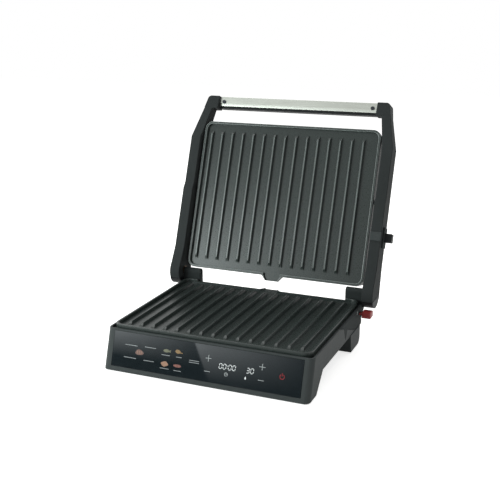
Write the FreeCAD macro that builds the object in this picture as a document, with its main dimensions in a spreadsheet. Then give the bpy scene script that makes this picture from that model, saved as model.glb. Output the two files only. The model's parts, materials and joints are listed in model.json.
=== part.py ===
import FreeCAD, Part
import math
import os
import re
import Sketcher

# Contact grill with a hinged lid, in millimetres: X to the right, Y to the rear, Z up.
# The origin lies on the table, below the middle of the plates. The lid is drawn closed and then swung open.

SIZES = {
    # Cooking plates, both alike but for their reach and the place of their ribs
    "plate_width": 292,
    "plate_corner": 13,
    "plate_floor": 4,
    "pan_depth": 5,
    "pan_corner": 9,
    "rim_width": 4,
    "rib_count": 15,
    "rib_side": 10.9,
    "rib_root": 6,
    "rib_crest": 2.6,
    "rib_height": 4.2,
    "rib_margin": 10,
    "rib_end_slope": 6,
    "rib_round": 1.1,
    "upper_rib_shift": 7,
    "spout_root": 34,
    "spout_tip": 20,
    "spout_reach": 8,
    "spout_lip": 3,
    "spout_drop": 1.5,
    "lower_plate_front": 110,
    "lower_plate_rear": 120,
    "upper_overhang": 10.5,
    "upper_margin": 2,
    "upper_gap": 1.5,
    "cook_height": 62,
    "closed_gap": 5.2,
    "drain_drop": 3.5,
    "drain_side": 21,
    # Base housing
    "side_margin": 5.7,
    "base_wall": 3,
    "rim_stand": 5,
    "body_depth": 35,
    "front_margin": 4.6,
    "panel_rake": 17.9,
    "front_foot_depth": 31.5,
    "front_foot_slope": 26.6,
    "rear_overhang": 7,
    "front_corner": 8,
    "plate_play": 0.4,
    # Feet
    "pad_height": 1.2,
    "pad_radius": 8,
    "pad_inset": 25,
    "pad_setback": 16,
    "rear_foot_setback": 11,
    "rear_foot_length": 46,
    "rear_foot_slope": 4,
    "rear_foot_width": 25,
    "rear_foot_stand": 1.3,
    "rear_foot_round": 11,
    # Control panel
    "glass_side": 12.2,
    "glass_top": 2.5,
    "glass_foot": 7,
    "glass_thick": 2.2,
    "glass_play": 0.15,
    "window_left": 14,
    "window_width": 68,
    "window_drop": 17.5,
    "window_height": 15,
    "board_side": 14.5,
    "board_margin": 6.5,
    "board_thick": 1.6,
    # Inside the base
    "frame_thick": 5,
    "frame_bar": 16,
    "frame_play": 0.3,
    "frame_setback": 2,
    "reflector_sheet": 0.8,
    "reflector_room": 1.7,
    "reflector_flange": 5,
    "element_radius": 3.25,
    "element_side": 41,
    "element_front_gap": 40,
    "element_rear_gap": 35,
    "element_loop": 46,
    "element_bend": 16,
    "sensor_radius": 6,
    "sensor_height": 4.5,
    "power_board_width": 130,
    "power_board_depth": 44,
    "power_board_setback": 16,
    "works_gap": 2,
    "post_half": 3,
    "post_inset": 6,
    "terminal_width": 30,
    "terminal_depth": 14,
    "terminal_setback": 14,
    "terminal_bay": 5,
    "terminal_bay_depth": 3,
    "gland_across": 80,
    "gland_radius": 5,
    "gland_bore": 3.6,
    "gland_collar": 8.5,
    "gland_collar_length": 6,
    "gland_nut": 7,
    "gland_nut_length": 4,
    "cover_side": 25.7,
    "cover_setback": 11,
    "cover_depth": 76,
    "cover_thick": 2,
    "cover_lap": 9,
    "vent_count": 9,
    "vent_pitch": 12,
    "vent_width": 4,
    "vent_length": 44,
    "screw_head": 3,
    "screw_head_height": 1.6,
    "screw_shank": 1.5,
    "screw_grip": 2.6,
    "screw_play": 0.05,
    # Drip tray and its rails
    "tray_side": 14,
    "tray_gap": 8,
    "tray_behind": 14,
    "tray_below": 6.5,
    "tray_clear": 4,
    "tray_wall": 2,
    "tray_corner": 8,
    "tray_flange": 3.5,
    "tray_pull": 4,
    "tray_pull_half": 40,
    "rail_wall": 2,
    "rail_setback": 3,
    "rail_play": 0.3,
    "rail_lip": 3,
    # Hinge towers
    "hinge_gap": 2.5,
    "hinge_rise": 10,
    "knuckle_radius": 5.5,
    "knuckle_length": 29.4,
    "heel_rise": 9,
    "shoulder_drop": 20,
    "cheek_length": 113,
    "cheek_drop": 2.3,
    "cheek_low_setback": 23.4,
    "cheek_low_run": 17.4,
    "tooth_start": 20,
    "tooth_tip": 29,
    "tooth_end": 37,
    "tooth_drop": 26.5,
    "pin_radius": 3,
    "pin_inset": 2,
    "running_play": 0.05,
    # Release button
    "button_setback": 16,
    "button_depth": 14,
    "button_below": 6.5,
    "button_height": 9,
    "button_travel": 4,
    "button_gap": 0.4,
    "button_length": 13.9,
    "button_round": 1.6,
    "stem_inset": 3,
    "stem_gap": 0.5,
    "stem_height": 3,
    "stem_reach": 18,
    # Lid arms, with heights above and below the hinge's axis
    "open_angle": 110,
    "arm_gap": 0.5,
    "arm_width": 17,
    "arm_rise": 18,
    "arm_drop_rear": 15,
    "arm_drop_step": 14,
    "arm_drop_mid": 10.5,
    "arm_drop_front": 9.5,
    "flare_length": 38,
    "step_from_hinge": 134,
    "step_run": 10,
    "boss_radius": 22.5,
    "boss_cap_offset": 9,
    "bush_radius": 7,
    "bush_cover": 3,
    "elbow_back": 27,
    "neck_length": 50.5,
    "neck_inset": 9.2,
    "neck_outset": 11.7,
    "neck_low": 0.2,
    "neck_rise": 20,
    "block_length": 21.5,
    "block_inset": 18.8,
    "block_outset": 16,
    "block_low": 4,
    "block_rise": 26.5,
    "block_round": 6,
    # Handle
    "strip_edge": 0.6,
    "strip_depth": 16.8,
    "strip_low": 8,
    "strip_thick": 3,
    "grip_depth": 19.5,
    "grip_round": 5,
    "handle_screw_inset": 7.4,
    "handle_screw_depth": 8,
    # Lock in the right arm
    "lock_from_hinge": 85,
    "lock_rise": 3.5,
    "lock_length": 13.5,
    "lock_depth": 12,
    "lock_sunk": 8,
    "lock_stand": 13.8,
    "lock_travel": 6,
    "lock_round": 1.2,
    "guide_length": 31,
    "guide_depth": 17,
    "guide_stand": 2.6,
    "guide_round": 1,
    "lock_play": 0.1,
    # Lid head
    "head_inset": 1,
    "head_lap": 2.5,
    "head_rise": 43,
    "head_wall": 2.5,
    "head_corner": 14,
    "head_round": 6,
    "pivot_from_hinge": 139,
    "pivot_rise": 10.5,
    "pivot_radius": 3.5,
    "pivot_sunk": 8,
    "pivot_depth": 12,
    "cover_plate_inset": 16,
    "cover_plate_thick": 0.8,
    # One overrun for every cut that has to pass a face
    "overrun": 5,
}

# Places that several pieces share
BASE_HALF = "(plate_width/2 + side_margin)"
BASE_TOP = "(cook_height - rim_stand)"
PANEL_TOP = "(lower_plate_front + front_margin)"
PANEL_FOOT = f"({PANEL_TOP} + ({BASE_TOP} - pad_height)*tan(panel_rake))"
PANEL_LENGTH = f"(({BASE_TOP} - pad_height)/cos(panel_rake))"
BELLY = "(cook_height - body_depth)"
FLOOR_TOP = f"({BELLY} + base_wall)"
REAR_WALL = "(lower_plate_rear - rear_overhang)"
WALL_INNER = f"({BASE_HALF} - base_wall)"
PLATE_BACK = "(cook_height - pan_depth - plate_floor)"
FRAME_LOW = f"({PLATE_BACK} - frame_thick)"
REFLECTOR_DROP = "(2*element_radius + reflector_room + reflector_sheet)"
WORKS_TOP = f"({FRAME_LOW} - {REFLECTOR_DROP} - works_gap)"
FOOT_REAR = f"({REAR_WALL} - rear_foot_setback)"
FOOT_OUTER = f"({BASE_HALF} + rear_foot_stand)"
FOOT_INNER = f"({FOOT_OUTER} - rear_foot_width)"
COVER_HALF = f"({BASE_HALF} - cover_side)"
COVER_FRONT = f"({PANEL_FOOT} - front_foot_depth - front_foot_slope - cover_setback)"
COVER_REAR = f"(cover_depth - {COVER_FRONT})"
GLAND = ("-gland_across", f"({FLOOR_TOP} + {FRAME_LOW})/2")
GLASS_HALF = f"({BASE_HALF} - glass_side)"
GLASS_HEIGHT = f"({PANEL_LENGTH} - glass_top - glass_foot)"
HINGE_BACK = "(lower_plate_rear + hinge_gap + knuckle_radius)"
HINGE_HEIGHT = "(cook_height + hinge_rise)"
HINGE = (HINGE_BACK, HINGE_HEIGHT)
KNUCKLE_INNER = f"({BASE_HALF} - knuckle_length)"
UPPER_HALF = "(plate_width/2 + upper_margin)"
UPPER_FRONT = "(lower_plate_front + upper_overhang)"
UPPER_REAR = f"({HINGE_BACK} - knuckle_radius - upper_gap)"
UPPER_RIM = "(cook_height + closed_gap)"
UPPER_BACK = f"({UPPER_RIM} + pan_depth + plate_floor)"
ARM_INNER = f"({BASE_HALF} + arm_gap)"
ARM_OUTER = f"({ARM_INNER} + arm_width)"
ELBOW = f"({UPPER_FRONT} - elbow_back)"
NECK = f"({ELBOW} + neck_length)"
HANDLE_FRONT = f"({NECK} + block_length)"
HANDLE_HALF = f"({ARM_INNER} - block_inset)"
PIVOT = (f"({HINGE_BACK} - pivot_from_hinge)", f"({HINGE_HEIGHT} + pivot_rise)")
HEAD_HALF = "(plate_width/2 - head_inset)"
HEAD_FRONT = f"({UPPER_FRONT} - head_lap)"
HEAD_REAR = f"({UPPER_REAR} - head_lap)"
HEAD_TOP = f"({HINGE_HEIGHT} + head_rise)"

# The two senses of Z
UPWARD = "1"
DOWNWARD = "-1"

doc = FreeCAD.newDocument("ContactGrill")
sheet = doc.addObject("Spreadsheet::Sheet", "Sizes")
for row, (alias, value) in enumerate(SIZES.items(), 1):
    sheet.set(f"A{row}", alias)
    sheet.set(f"B{row}", str(value))
    sheet.setAlias(f"B{row}", alias)
doc.recompute()

ALIAS = re.compile(r"\b(" + "|".join(SIZES) + r")\b")
pieces = []


def bound(expression):
    """The expression with every size name pointed at its cell."""
    return ALIAS.sub(r"Sizes.\1", expression)


def worth(expression):
    """The expression's value now, to draw a sketch where its constraints will hold it."""
    return float(sheet.evalExpression(bound(expression)))


def origin_feature(body, role):
    """One of the body's own origin planes or axes."""
    return next(item for item in body.Origin.OriginFeatures if item.Role == role)


def new_body(label):
    """A body whose label names its piece."""
    body = doc.addObject("PartDesign::Body", "Body")
    body.Label = label
    return body


def keep(item, label=None):
    """Lists a finished piece for the hand-over."""
    if label:
        item.Label = label
    pieces.append(item)
    return item


def new_sketch(body, plane, lift="0"):
    """A sketch on an origin plane of its body, lifted along the plane's normal."""
    sketch = body.newObject("Sketcher::SketchObject", "Sketch")
    sketch.AttachmentSupport = [(origin_feature(body, plane), "")]
    sketch.MapMode = "FlatFace"
    sketch.setExpression("AttachmentOffset.Base.z", bound(lift))
    return sketch


def fix_point(sketch, edge, corner, place):
    """Ties a point of the sketch to its origin by two bound distances."""
    for kind, expression in zip(("DistanceX", "DistanceY"), place):
        made = Sketcher.Constraint(kind, -1, 1, edge, corner, worth(expression))
        index = sketch.addConstraint(made)
        name = f"{kind}_{edge}_{corner}"
        sketch.renameConstraint(index, name)
        sketch.setExpression(f"Constraints.{name}", bound(expression))


def draw_runs(sketch, points, closed=True):
    """Straight runs through the points, closed unless the sketch is a path."""
    first = sketch.GeometryCount
    spots = [FreeCAD.Vector(worth(u), worth(v), 0) for u, v in points]
    count = len(points) if closed else len(points) - 1
    for index in range(count):
        ends = (spots[index], spots[(index + 1) % len(points)])
        sketch.addGeometry(Part.LineSegment(*ends), False)
    joints = count if closed else count - 1
    for index in range(joints):
        after = (index + 1) % count
        sketch.addConstraint(Sketcher.Constraint("Coincident", first + index, 2, first + after, 1))
    for index in range(count):
        fix_point(sketch, first + index, 1, points[index])
    if not closed:
        fix_point(sketch, first + count - 1, 2, points[-1])
    return sketch


def draw_bent_path(sketch, points, bend):
    """An open path along X and Y through the points, with its corners bent to one radius."""
    spots = [FreeCAD.Vector(worth(u), worth(v), 0) for u, v in points]
    steps = [(after - before).normalize() for before, after in zip(spots, spots[1:])]

    def shifted(index, step, sense):
        u, v = points[index]
        return f"({u}) + ({sense*round(step.x)})*{bend}", f"({v}) + ({sense*round(step.y)})*{bend}"

    last = len(steps) - 1
    for index, step in enumerate(steps):
        start = shifted(index, step, 1) if index else points[0]
        end = shifted(index + 1, step, -1) if index < last else points[-1]
        ends = [FreeCAD.Vector(worth(u), worth(v), 0) for u, v in (start, end)]
        sketch.addGeometry(Part.LineSegment(*ends), False)
        fix_point(sketch, index, 1, start)
        fix_point(sketch, index, 2, end)
    for index, (step, turned) in enumerate(zip(steps, steps[1:])):
        leftward = step.cross(turned).z > 0
        centre = spots[index + 1] + (turned - step)*worth(bend)
        begin = -turned if leftward else step
        turn = math.atan2(begin.y, begin.x)
        ring = Part.Circle(centre, FreeCAD.Vector(0, 0, 1), worth(bend))
        arc = sketch.addGeometry(Part.ArcOfCircle(ring, turn, turn + math.pi/2), False)
        corners = (1, 2) if leftward else (2, 1)
        sketch.addConstraint(Sketcher.Constraint("Coincident", index, 2, arc, corners[0]))
        sketch.addConstraint(Sketcher.Constraint("Coincident", index + 1, 1, arc, corners[1]))
        size = sketch.addConstraint(Sketcher.Constraint("Radius", arc, worth(bend)))
        sketch.renameConstraint(size, f"Bend_{arc}")
        sketch.setExpression(f"Constraints.Bend_{arc}", bound(bend))
    return sketch


def draw_ring(sketch, centre, radius):
    """A circle held by its centre and its radius."""
    index = sketch.GeometryCount
    spot = FreeCAD.Vector(worth(centre[0]), worth(centre[1]), 0)
    sketch.addGeometry(Part.Circle(spot, FreeCAD.Vector(0, 0, 1), worth(radius)), False)
    fix_point(sketch, index, 3, centre)
    size = sketch.addConstraint(Sketcher.Constraint("Radius", index, worth(radius)))
    sketch.renameConstraint(size, f"Radius_{index}")
    sketch.setExpression(f"Constraints.Radius_{index}", bound(radius))
    return sketch


def box_points(left, right, low, high):
    """The four corners of an upright rectangle."""
    return [(left, low), (right, low), (right, high), (left, high)]


def volume_of(body):
    """The body's volume, or nothing before its first feature."""
    return body.Shape.Volume if body.Tip and not body.Shape.isNull() else 0.0


def add_feature(body, kind, profile, length, both, backwards):
    """A pad or pocket of a bound length, which has to change the body."""
    before = volume_of(body)
    feature = body.newObject(f"PartDesign::{kind}", kind)
    feature.Profile = profile
    feature.Midplane = both
    feature.Reversed = backwards
    feature.setExpression("Length", bound(length))
    doc.recompute()
    if abs(volume_of(body) - before) < 1e-6:
        raise RuntimeError(f"{body.Label}: a {kind} changed nothing")
    return feature


def pad(body, profile, length, both=False, backwards=False):
    """Adds a pad of the profile."""
    return add_feature(body, "Pad", profile, length, both, backwards)


def pocket(body, profile, length, both=False, backwards=False):
    """Takes a pocket of the profile away."""
    return add_feature(body, "Pocket", profile, length, both, backwards)


def edge_runs(edge, axis):
    """True for a straight edge along X, Y or Z."""
    if edge.Curve.TypeId != "Part::GeomLine":
        return False
    step = edge.Vertexes[1].Point - edge.Vertexes[0].Point
    return abs(abs(step.normalize()["XYZ".index(axis)]) - 1) < 1e-6


def middle(edge):
    """The middle of an edge."""
    return edge.BoundBox.Center


def near(value, expression):
    """True where a coordinate is the expression's value."""
    return abs(value - worth(expression)) < 1e-4


def round_edges(body, radius, chosen):
    """Rounds each edge of the body's tip that the test chooses."""
    base = body.Tip
    names = [f"Edge{i}" for i, edge in enumerate(base.Shape.Edges, 1) if chosen(edge)]
    feature = body.newObject("PartDesign::Fillet", "Fillet")
    feature.Base = (base, names)
    feature.setExpression("Radius", bound(radius))
    doc.recompute()
    return feature


def hollow(body, wall, chosen):
    """Shells the body inwards and opens the faces that the test chooses."""
    base = body.Tip
    names = [f"Face{i}" for i, face in enumerate(base.Shape.Faces, 1) if chosen(face)]
    feature = body.newObject("PartDesign::Thickness", "Thickness")
    feature.Base = (base, names)
    feature.Mode = 0
    feature.Join = 1
    feature.Reversed = True
    feature.setExpression("Value", bound(wall))
    doc.recompute()
    return feature


def mirror_features(body, features):
    """Repeats features on the other side of the middle plane."""
    feature = body.newObject("PartDesign::Mirrored", "Mirrored")
    feature.Originals = features
    feature.MirrorPlane = (origin_feature(body, "YZ_Plane"), [""])
    body.Tip = feature
    doc.recompute()
    return feature


def repeat_across(body, feature, span, count):
    """Repeats a feature in an even row along X."""
    row_feature = body.newObject("PartDesign::LinearPattern", "LinearPattern")
    row_feature.Originals = [feature]
    row_feature.Direction = (origin_feature(body, "X_Axis"), [""])
    row_feature.setExpression("Length", bound(span))
    row_feature.setExpression("Occurrences", bound(count))
    body.Tip = row_feature
    doc.recompute()
    return row_feature


def other_side(source, label):
    """The piece's mirror image in the middle plane."""
    doc.recompute()
    image = doc.addObject("Part::Mirroring", "Mirroring")
    image.Source = source
    image.Normal = (1, 0, 0)
    image.Label = label
    return image


def swing_open(item):
    """Turns a piece drawn with the lid closed about the hinge to where it rests, open."""
    item.Placement = FreeCAD.Placement(FreeCAD.Vector(), FreeCAD.Rotation(FreeCAD.Vector(1, 0, 0), -1))
    item.setExpression("Placement.Rotation.Angle", bound("open_angle"))
    item.setExpression("Placement.Rotation.Axis.x", "-1")
    back = f"{HINGE_BACK} - {HINGE_BACK}*cos(open_angle) - {HINGE_HEIGHT}*sin(open_angle)"
    rise = f"{HINGE_HEIGHT} + {HINGE_BACK}*sin(open_angle) - {HINGE_HEIGHT}*cos(open_angle)"
    item.setExpression("Placement.Base.y", bound(back))
    item.setExpression("Placement.Base.z", bound(rise))
    return item


def slab(label, width, points):
    """A body of one side profile, padded evenly to both sides of the middle."""
    body = new_body(label)
    pad(body, draw_runs(new_sketch(body, "YZ_Plane"), points), width, both=True)
    return body


def cross_rod(label, spot, radius, start, end):
    """A round rod along X from start to end."""
    body = new_body(label)
    sketch = draw_ring(new_sketch(body, "YZ_Plane", start), spot, radius)
    pad(body, sketch, f"({end}) - ({start})")
    return body


def post(label, spot, radius, low, high):
    """A round upright post."""
    body = new_body(label)
    sketch = draw_ring(new_sketch(body, "XY_Plane", low), spot, radius)
    pad(body, sketch, f"({high}) - ({low})")
    return body


def group(label, items):
    """Separate solids that share a node."""
    doc.recompute()
    compound = doc.addObject("Part::Compound", "Compound")
    compound.Links = items
    compound.Label = label
    return compound


def on_panel(down, inward):
    """A point of the raked front: how far down from its top edge, and how far inward."""
    along = f"-{PANEL_TOP} - ({down})*sin(panel_rake) + ({inward})*cos(panel_rake)"
    height = f"{BASE_TOP} - ({down})*cos(panel_rake) - ({inward})*sin(panel_rake)"
    return along, height


def panel_layer(top, height, outside, inside):
    """The side profile of a layer that lies along the raked front."""
    low = f"({top}) + ({height})"
    return [on_panel(top, outside), on_panel(top, inside), on_panel(low, inside), on_panel(low, outside)]


# Cooking plates
def make_plate(label, half, front, rear, rim, inward, rib_shift):
    """A ribbed cast plate: inward is the sense of Z from its cooking face to its back."""
    body = new_body(label)
    down = inward == DOWNWARD
    floor = f"{rim} + ({inward})*pan_depth"
    crest = f"{floor} - ({inward})*rib_height"
    outline = box_points(f"-{half}", half, f"-{front}", rear)
    plan = draw_runs(new_sketch(body, "XY_Plane", rim), outline)
    pad(body, plan, "pan_depth + plate_floor", backwards=down)
    round_edges(body, "plate_corner", lambda edge: edge_runs(edge, "Z"))
    inner = f"({half} - rim_width)"
    pan = box_points(f"-{inner}", inner, f"-({front} - rim_width)", f"{rear} - rim_width")
    pocket(body, draw_runs(new_sketch(body, "XY_Plane", rim), pan), "pan_depth", backwards=not down)
    round_edges(body, "pan_corner", lambda edge: edge_runs(edge, "Z") and near(edge.Length, "pan_depth"))
    row = "(plate_width - 2*rim_width - 2*rib_side - rib_root)"
    first = f"(-{row}/2 - {rib_shift})"
    root = f"{floor} + ({inward})*plate_floor/2"
    rib = [
        (f"{first} - rib_root/2", root),
        (f"{first} + rib_root/2", root),
        (f"{first} + rib_root/2", floor),
        (f"{first} + rib_crest/2", crest),
        (f"{first} - rib_crest/2", crest),
        (f"{first} - rib_root/2", floor),
    ]
    rib_length = f"({front} + {rear} - 2*rim_width - 2*rib_margin)"
    rib_sketch = draw_runs(new_sketch(body, "XZ_Plane", f"({front} - {rear})/2"), rib)
    ribs = pad(body, rib_sketch, rib_length, both=True)
    repeat_across(body, ribs, row, "rib_count")
    ends = new_sketch(body, "YZ_Plane")
    rear_end = f"({rear} - rim_width - rib_margin)"
    front_end = f"(-{front} + rim_width + rib_margin)"
    draw_runs(ends, [(rear_end, floor), (rear_end, crest), (f"{rear_end} - rib_end_slope", crest)])
    draw_runs(ends, [(front_end, floor), (f"{front_end} + rib_end_slope", crest), (front_end, crest)])
    pocket(body, ends, f"{row} + rib_root + 2*{rib_shift}", both=True)
    round_edges(body, "rib_round", lambda edge: edge_runs(edge, "Y") and near(middle(edge).z, crest))
    lip = f"{rim} + ({inward})*spout_drop"
    tab = [
        ("-spout_root/2", f"{rear} - rim_width/2"),
        ("spout_root/2", f"{rear} - rim_width/2"),
        ("spout_root/2", rear),
        ("spout_tip/2", f"{rear} + spout_reach"),
        ("-spout_tip/2", f"{rear} + spout_reach"),
        ("-spout_root/2", rear),
    ]
    tab_height = "pan_depth + plate_floor - spout_drop"
    pad(body, draw_runs(new_sketch(body, "XY_Plane", lip), tab), tab_height, backwards=down)
    channel = [
        ("-spout_root/2 + spout_lip", f"{rear} - rim_width - overrun"),
        ("spout_root/2 - spout_lip", f"{rear} - rim_width - overrun"),
        ("spout_root/2 - spout_lip", rear),
        ("spout_tip/2 - spout_lip", f"{rear} + spout_reach + overrun"),
        ("-spout_tip/2 + spout_lip", f"{rear} + spout_reach + overrun"),
        ("-spout_root/2 + spout_lip", rear),
    ]
    pocket(body, draw_runs(new_sketch(body, "XY_Plane", rim), channel), "pan_depth", backwards=not down)
    return body


def make_lower_plate():
    """The lower plate, whose rear rim is lower so that fat runs off towards the tray."""
    rim = "cook_height"
    body = make_plate("lower_plate", "plate_width/2", "lower_plate_front", "lower_plate_rear", rim,
                      DOWNWARD, "0")
    half = "(plate_width/2 - drain_side)"
    edge = box_points(f"-{half}", half, "lower_plate_rear - rim_width",
                      "lower_plate_rear + spout_reach + overrun")
    pocket(body, draw_runs(new_sketch(body, "XY_Plane", rim), edge), "drain_drop")
    return keep(body)


def make_upper_plate():
    """The upper plate, whose ribs look down when the lid is closed and stand beside the lower ones."""
    body = make_plate("upper_plate", UPPER_HALF, UPPER_FRONT, UPPER_REAR, UPPER_RIM, UPWARD,
                      "upper_rib_shift")
    return keep(swing_open(body))


# Base housing
def cheek_points():
    """The side outline of a hinge tower's cheek, with its pointed tooth."""
    start = f"({REAR_WALL} - cheek_length)"
    low = f"({BELLY} - cheek_drop)"
    low_start = f"({REAR_WALL} - cheek_low_setback)"
    fall = f"(({BASE_TOP} - {low})/(cheek_length - cheek_low_setback))"
    return [
        (start, BASE_TOP),
        (f"{start} + tooth_start", f"{BASE_TOP} - tooth_start*{fall}"),
        (f"{start} + tooth_tip", f"{BASE_TOP} - tooth_drop"),
        (f"{start} + tooth_end", f"{BASE_TOP} - tooth_end*{fall}"),
        (low_start, low),
        (f"{low_start} + cheek_low_run", low),
        (REAR_WALL, f"{BELLY} + heel_rise"),
        (REAR_WALL, BASE_TOP),
    ]


def make_base_housing():
    """The lower moulding: raked front, side walls, belly, rear wall and both pairs of feet."""
    body = new_body("base_housing")
    foot_back = f"(-{PANEL_FOOT} + front_foot_depth)"
    profile = [
        (f"-{PANEL_FOOT}", "pad_height"),
        (foot_back, "pad_height"),
        (f"{foot_back} + front_foot_slope", BELLY),
        (REAR_WALL, BELLY),
        (REAR_WALL, BASE_TOP),
        (f"-{PANEL_TOP}", BASE_TOP),
    ]
    pad(body, draw_runs(new_sketch(body, "YZ_Plane"), profile), f"2*{BASE_HALF}", both=True)

    def front_corner(edge):
        on_side = near(abs(middle(edge).x), BASE_HALF) and middle(edge).y < -worth(PANEL_TOP)
        return on_side and edge.BoundBox.ZLength > worth(BELLY)

    round_edges(body, "front_corner", front_corner)
    hollow(body, "base_wall", lambda face: near(face.BoundBox.ZMin, BASE_TOP))
    foot_toe = f"({FOOT_REAR} - rear_foot_length)"
    foot = [
        (f"{foot_toe} - rear_foot_slope", f"{BELLY} + base_wall/2"),
        (foot_toe, "pad_height"),
        (FOOT_REAR, "pad_height"),
        (FOOT_REAR, f"{BELLY} + base_wall/2"),
    ]
    foot_sketch = draw_runs(new_sketch(body, "YZ_Plane", FOOT_INNER), foot)
    mirror_features(body, [pad(body, foot_sketch, "rear_foot_width")])

    def heel(edge):
        at_heel = near(middle(edge).y, FOOT_REAR) and near(middle(edge).z, "pad_height")
        return edge_runs(edge, "X") and at_heel

    round_edges(body, "rear_foot_round", heel)
    rear_edge = box_points(f"{REAR_WALL} - base_wall - overrun", f"{REAR_WALL} + overrun",
                           f"{PLATE_BACK} - plate_play", f"{BASE_TOP} + overrun")
    pocket(body, draw_runs(new_sketch(body, "YZ_Plane"), rear_edge), f"2*{BASE_HALF}", both=True)
    cheek = draw_runs(new_sketch(body, "YZ_Plane", BASE_HALF), cheek_points())
    mirror_features(body, [pocket(body, cheek, "base_wall")])
    glass = panel_layer("glass_top", GLASS_HEIGHT, "0", "glass_thick")
    pocket(body, draw_runs(new_sketch(body, "YZ_Plane"), glass), f"2*{GLASS_HALF}", both=True)
    window = panel_layer("glass_top + window_drop", "window_height", "0", "base_wall + overrun")
    window_sketch = draw_runs(new_sketch(body, "YZ_Plane", "window_left"), window)
    pocket(body, window_sketch, "window_width", backwards=True)
    gland_sketch = new_sketch(body, "XZ_Plane", f"-{REAR_WALL} - overrun")
    pocket(body, draw_ring(gland_sketch, GLAND, "gland_radius"), "base_wall + 2*overrun", backwards=True)
    hatch_half = f"({COVER_HALF} - cover_lap)"
    hatch = box_points(f"-{hatch_half}", hatch_half, f"-{COVER_FRONT} + cover_lap",
                       f"{COVER_REAR} - cover_lap")
    holes = draw_runs(new_sketch(body, "XY_Plane", f"{FLOOR_TOP} + overrun"), hatch)
    for spot in cover_screw_spots():
        draw_ring(holes, spot, "screw_shank + screw_play")
    pocket(body, holes, "base_wall + 2*overrun")
    return keep(body)


def cover_screw_spots():
    """Where the belly cover's four screws stand."""
    spots = []
    for side in ("-", ""):
        for along in (f"-{COVER_FRONT} + cover_lap/2", f"{COVER_REAR} - cover_lap/2"):
            spots.append((f"{side}({COVER_HALF} - cover_lap/2)", along))
    return spots


def make_belly_cover():
    """The screwed cover under the belly, with a row of vent slots, and its screws."""
    body = new_body("belly_cover")
    low = f"{BELLY} - cover_thick"
    plate = box_points(f"-{COVER_HALF}", COVER_HALF, f"-{COVER_FRONT}", COVER_REAR)
    pad(body, draw_runs(new_sketch(body, "XY_Plane", low), plate), "cover_thick")
    holes = new_sketch(body, "XY_Plane", f"{BELLY} + overrun")
    for spot in cover_screw_spots():
        draw_ring(holes, spot, "screw_shank + screw_play")
    pocket(body, holes, "cover_thick + 2*overrun")
    first = "(-vent_pitch*(vent_count - 1)/2)"
    centre = f"(({COVER_REAR} - {COVER_FRONT})/2)"
    slot = box_points(f"{first} - vent_width/2", f"{first} + vent_width/2", f"{centre} - vent_length/2",
                      f"{centre} + vent_length/2")
    slot_sketch = draw_runs(new_sketch(body, "XY_Plane", f"{BELLY} + overrun"), slot)
    vents = pocket(body, slot_sketch, "cover_thick + 2*overrun")
    repeat_across(body, vents, "vent_pitch*(vent_count - 1)", "vent_count")
    keep(body)
    screws = []
    for index, spot in enumerate(cover_screw_spots(), 1):
        screw = post(f"cover_screw_{index}", spot, "screw_head", f"{low} - screw_head_height", low)
        shank = draw_ring(new_sketch(screw, "XY_Plane", low), spot, "screw_shank")
        pad(screw, shank, "cover_thick + screw_grip")
        screws.append(screw)
    keep(group("cover_screws", screws))


def make_foot_pads():
    """Four rubber pads that the grill stands on."""
    pads = []
    front = (f"({BASE_HALF} - pad_inset)", f"(-{PANEL_FOOT} + pad_setback)")
    rear = (f"(({FOOT_INNER} + {FOOT_OUTER})/2)", f"({FOOT_REAR} - rear_foot_round - pad_radius)")
    for across, along in (front, rear):
        for side in ("-", ""):
            pads.append(post("pad", (f"{side}{across}", along), "pad_radius", "0", "pad_height"))
    keep(group("foot_pads", pads))


# Control panel
def make_control_panel():
    """The touch glass in its recess, the display behind its window and the board that carries it."""
    play = "glass_play"
    layer = panel_layer(f"glass_top + {play}", f"{GLASS_HEIGHT} - 2*{play}", "0", "glass_thick")
    keep(slab("touch_glass", f"2*({GLASS_HALF} - {play})", layer))
    board = panel_layer("glass_top + board_margin", f"{GLASS_HEIGHT} - 2*board_margin", "base_wall",
                        "base_wall + board_thick")
    keep(slab("touch_board", f"2*({GLASS_HALF} - board_side)", board))
    body = new_body("display_module")
    inside = panel_layer(f"glass_top + window_drop + {play}", f"window_height - 2*{play}", "glass_thick",
                         "base_wall")
    sketch = draw_runs(new_sketch(body, "YZ_Plane", f"window_left + {play}"), inside)
    pad(body, sketch, f"window_width - 2*{play}")
    keep(body)


# Inside the base
def make_base_frame():
    """The ring inside the housing that the lower plate lies on."""
    body = new_body("base_frame")
    half = f"({WALL_INNER} - frame_play)"
    front = "(lower_plate_front - frame_setback)"
    rear = f"({REAR_WALL} - base_wall - frame_play)"
    ring = box_points(f"-{half}", half, f"-{front}", rear)
    pad(body, draw_runs(new_sketch(body, "XY_Plane", FRAME_LOW), ring), "frame_thick")
    bar = "frame_bar"
    gap = box_points(f"-({half} - {bar})", f"{half} - {bar}", f"-{front} + {bar}", f"{rear} - {bar}")
    pocket(body, draw_runs(new_sketch(body, "XY_Plane", FRAME_LOW), gap), "frame_thick", backwards=True)
    return keep(body)


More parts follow.
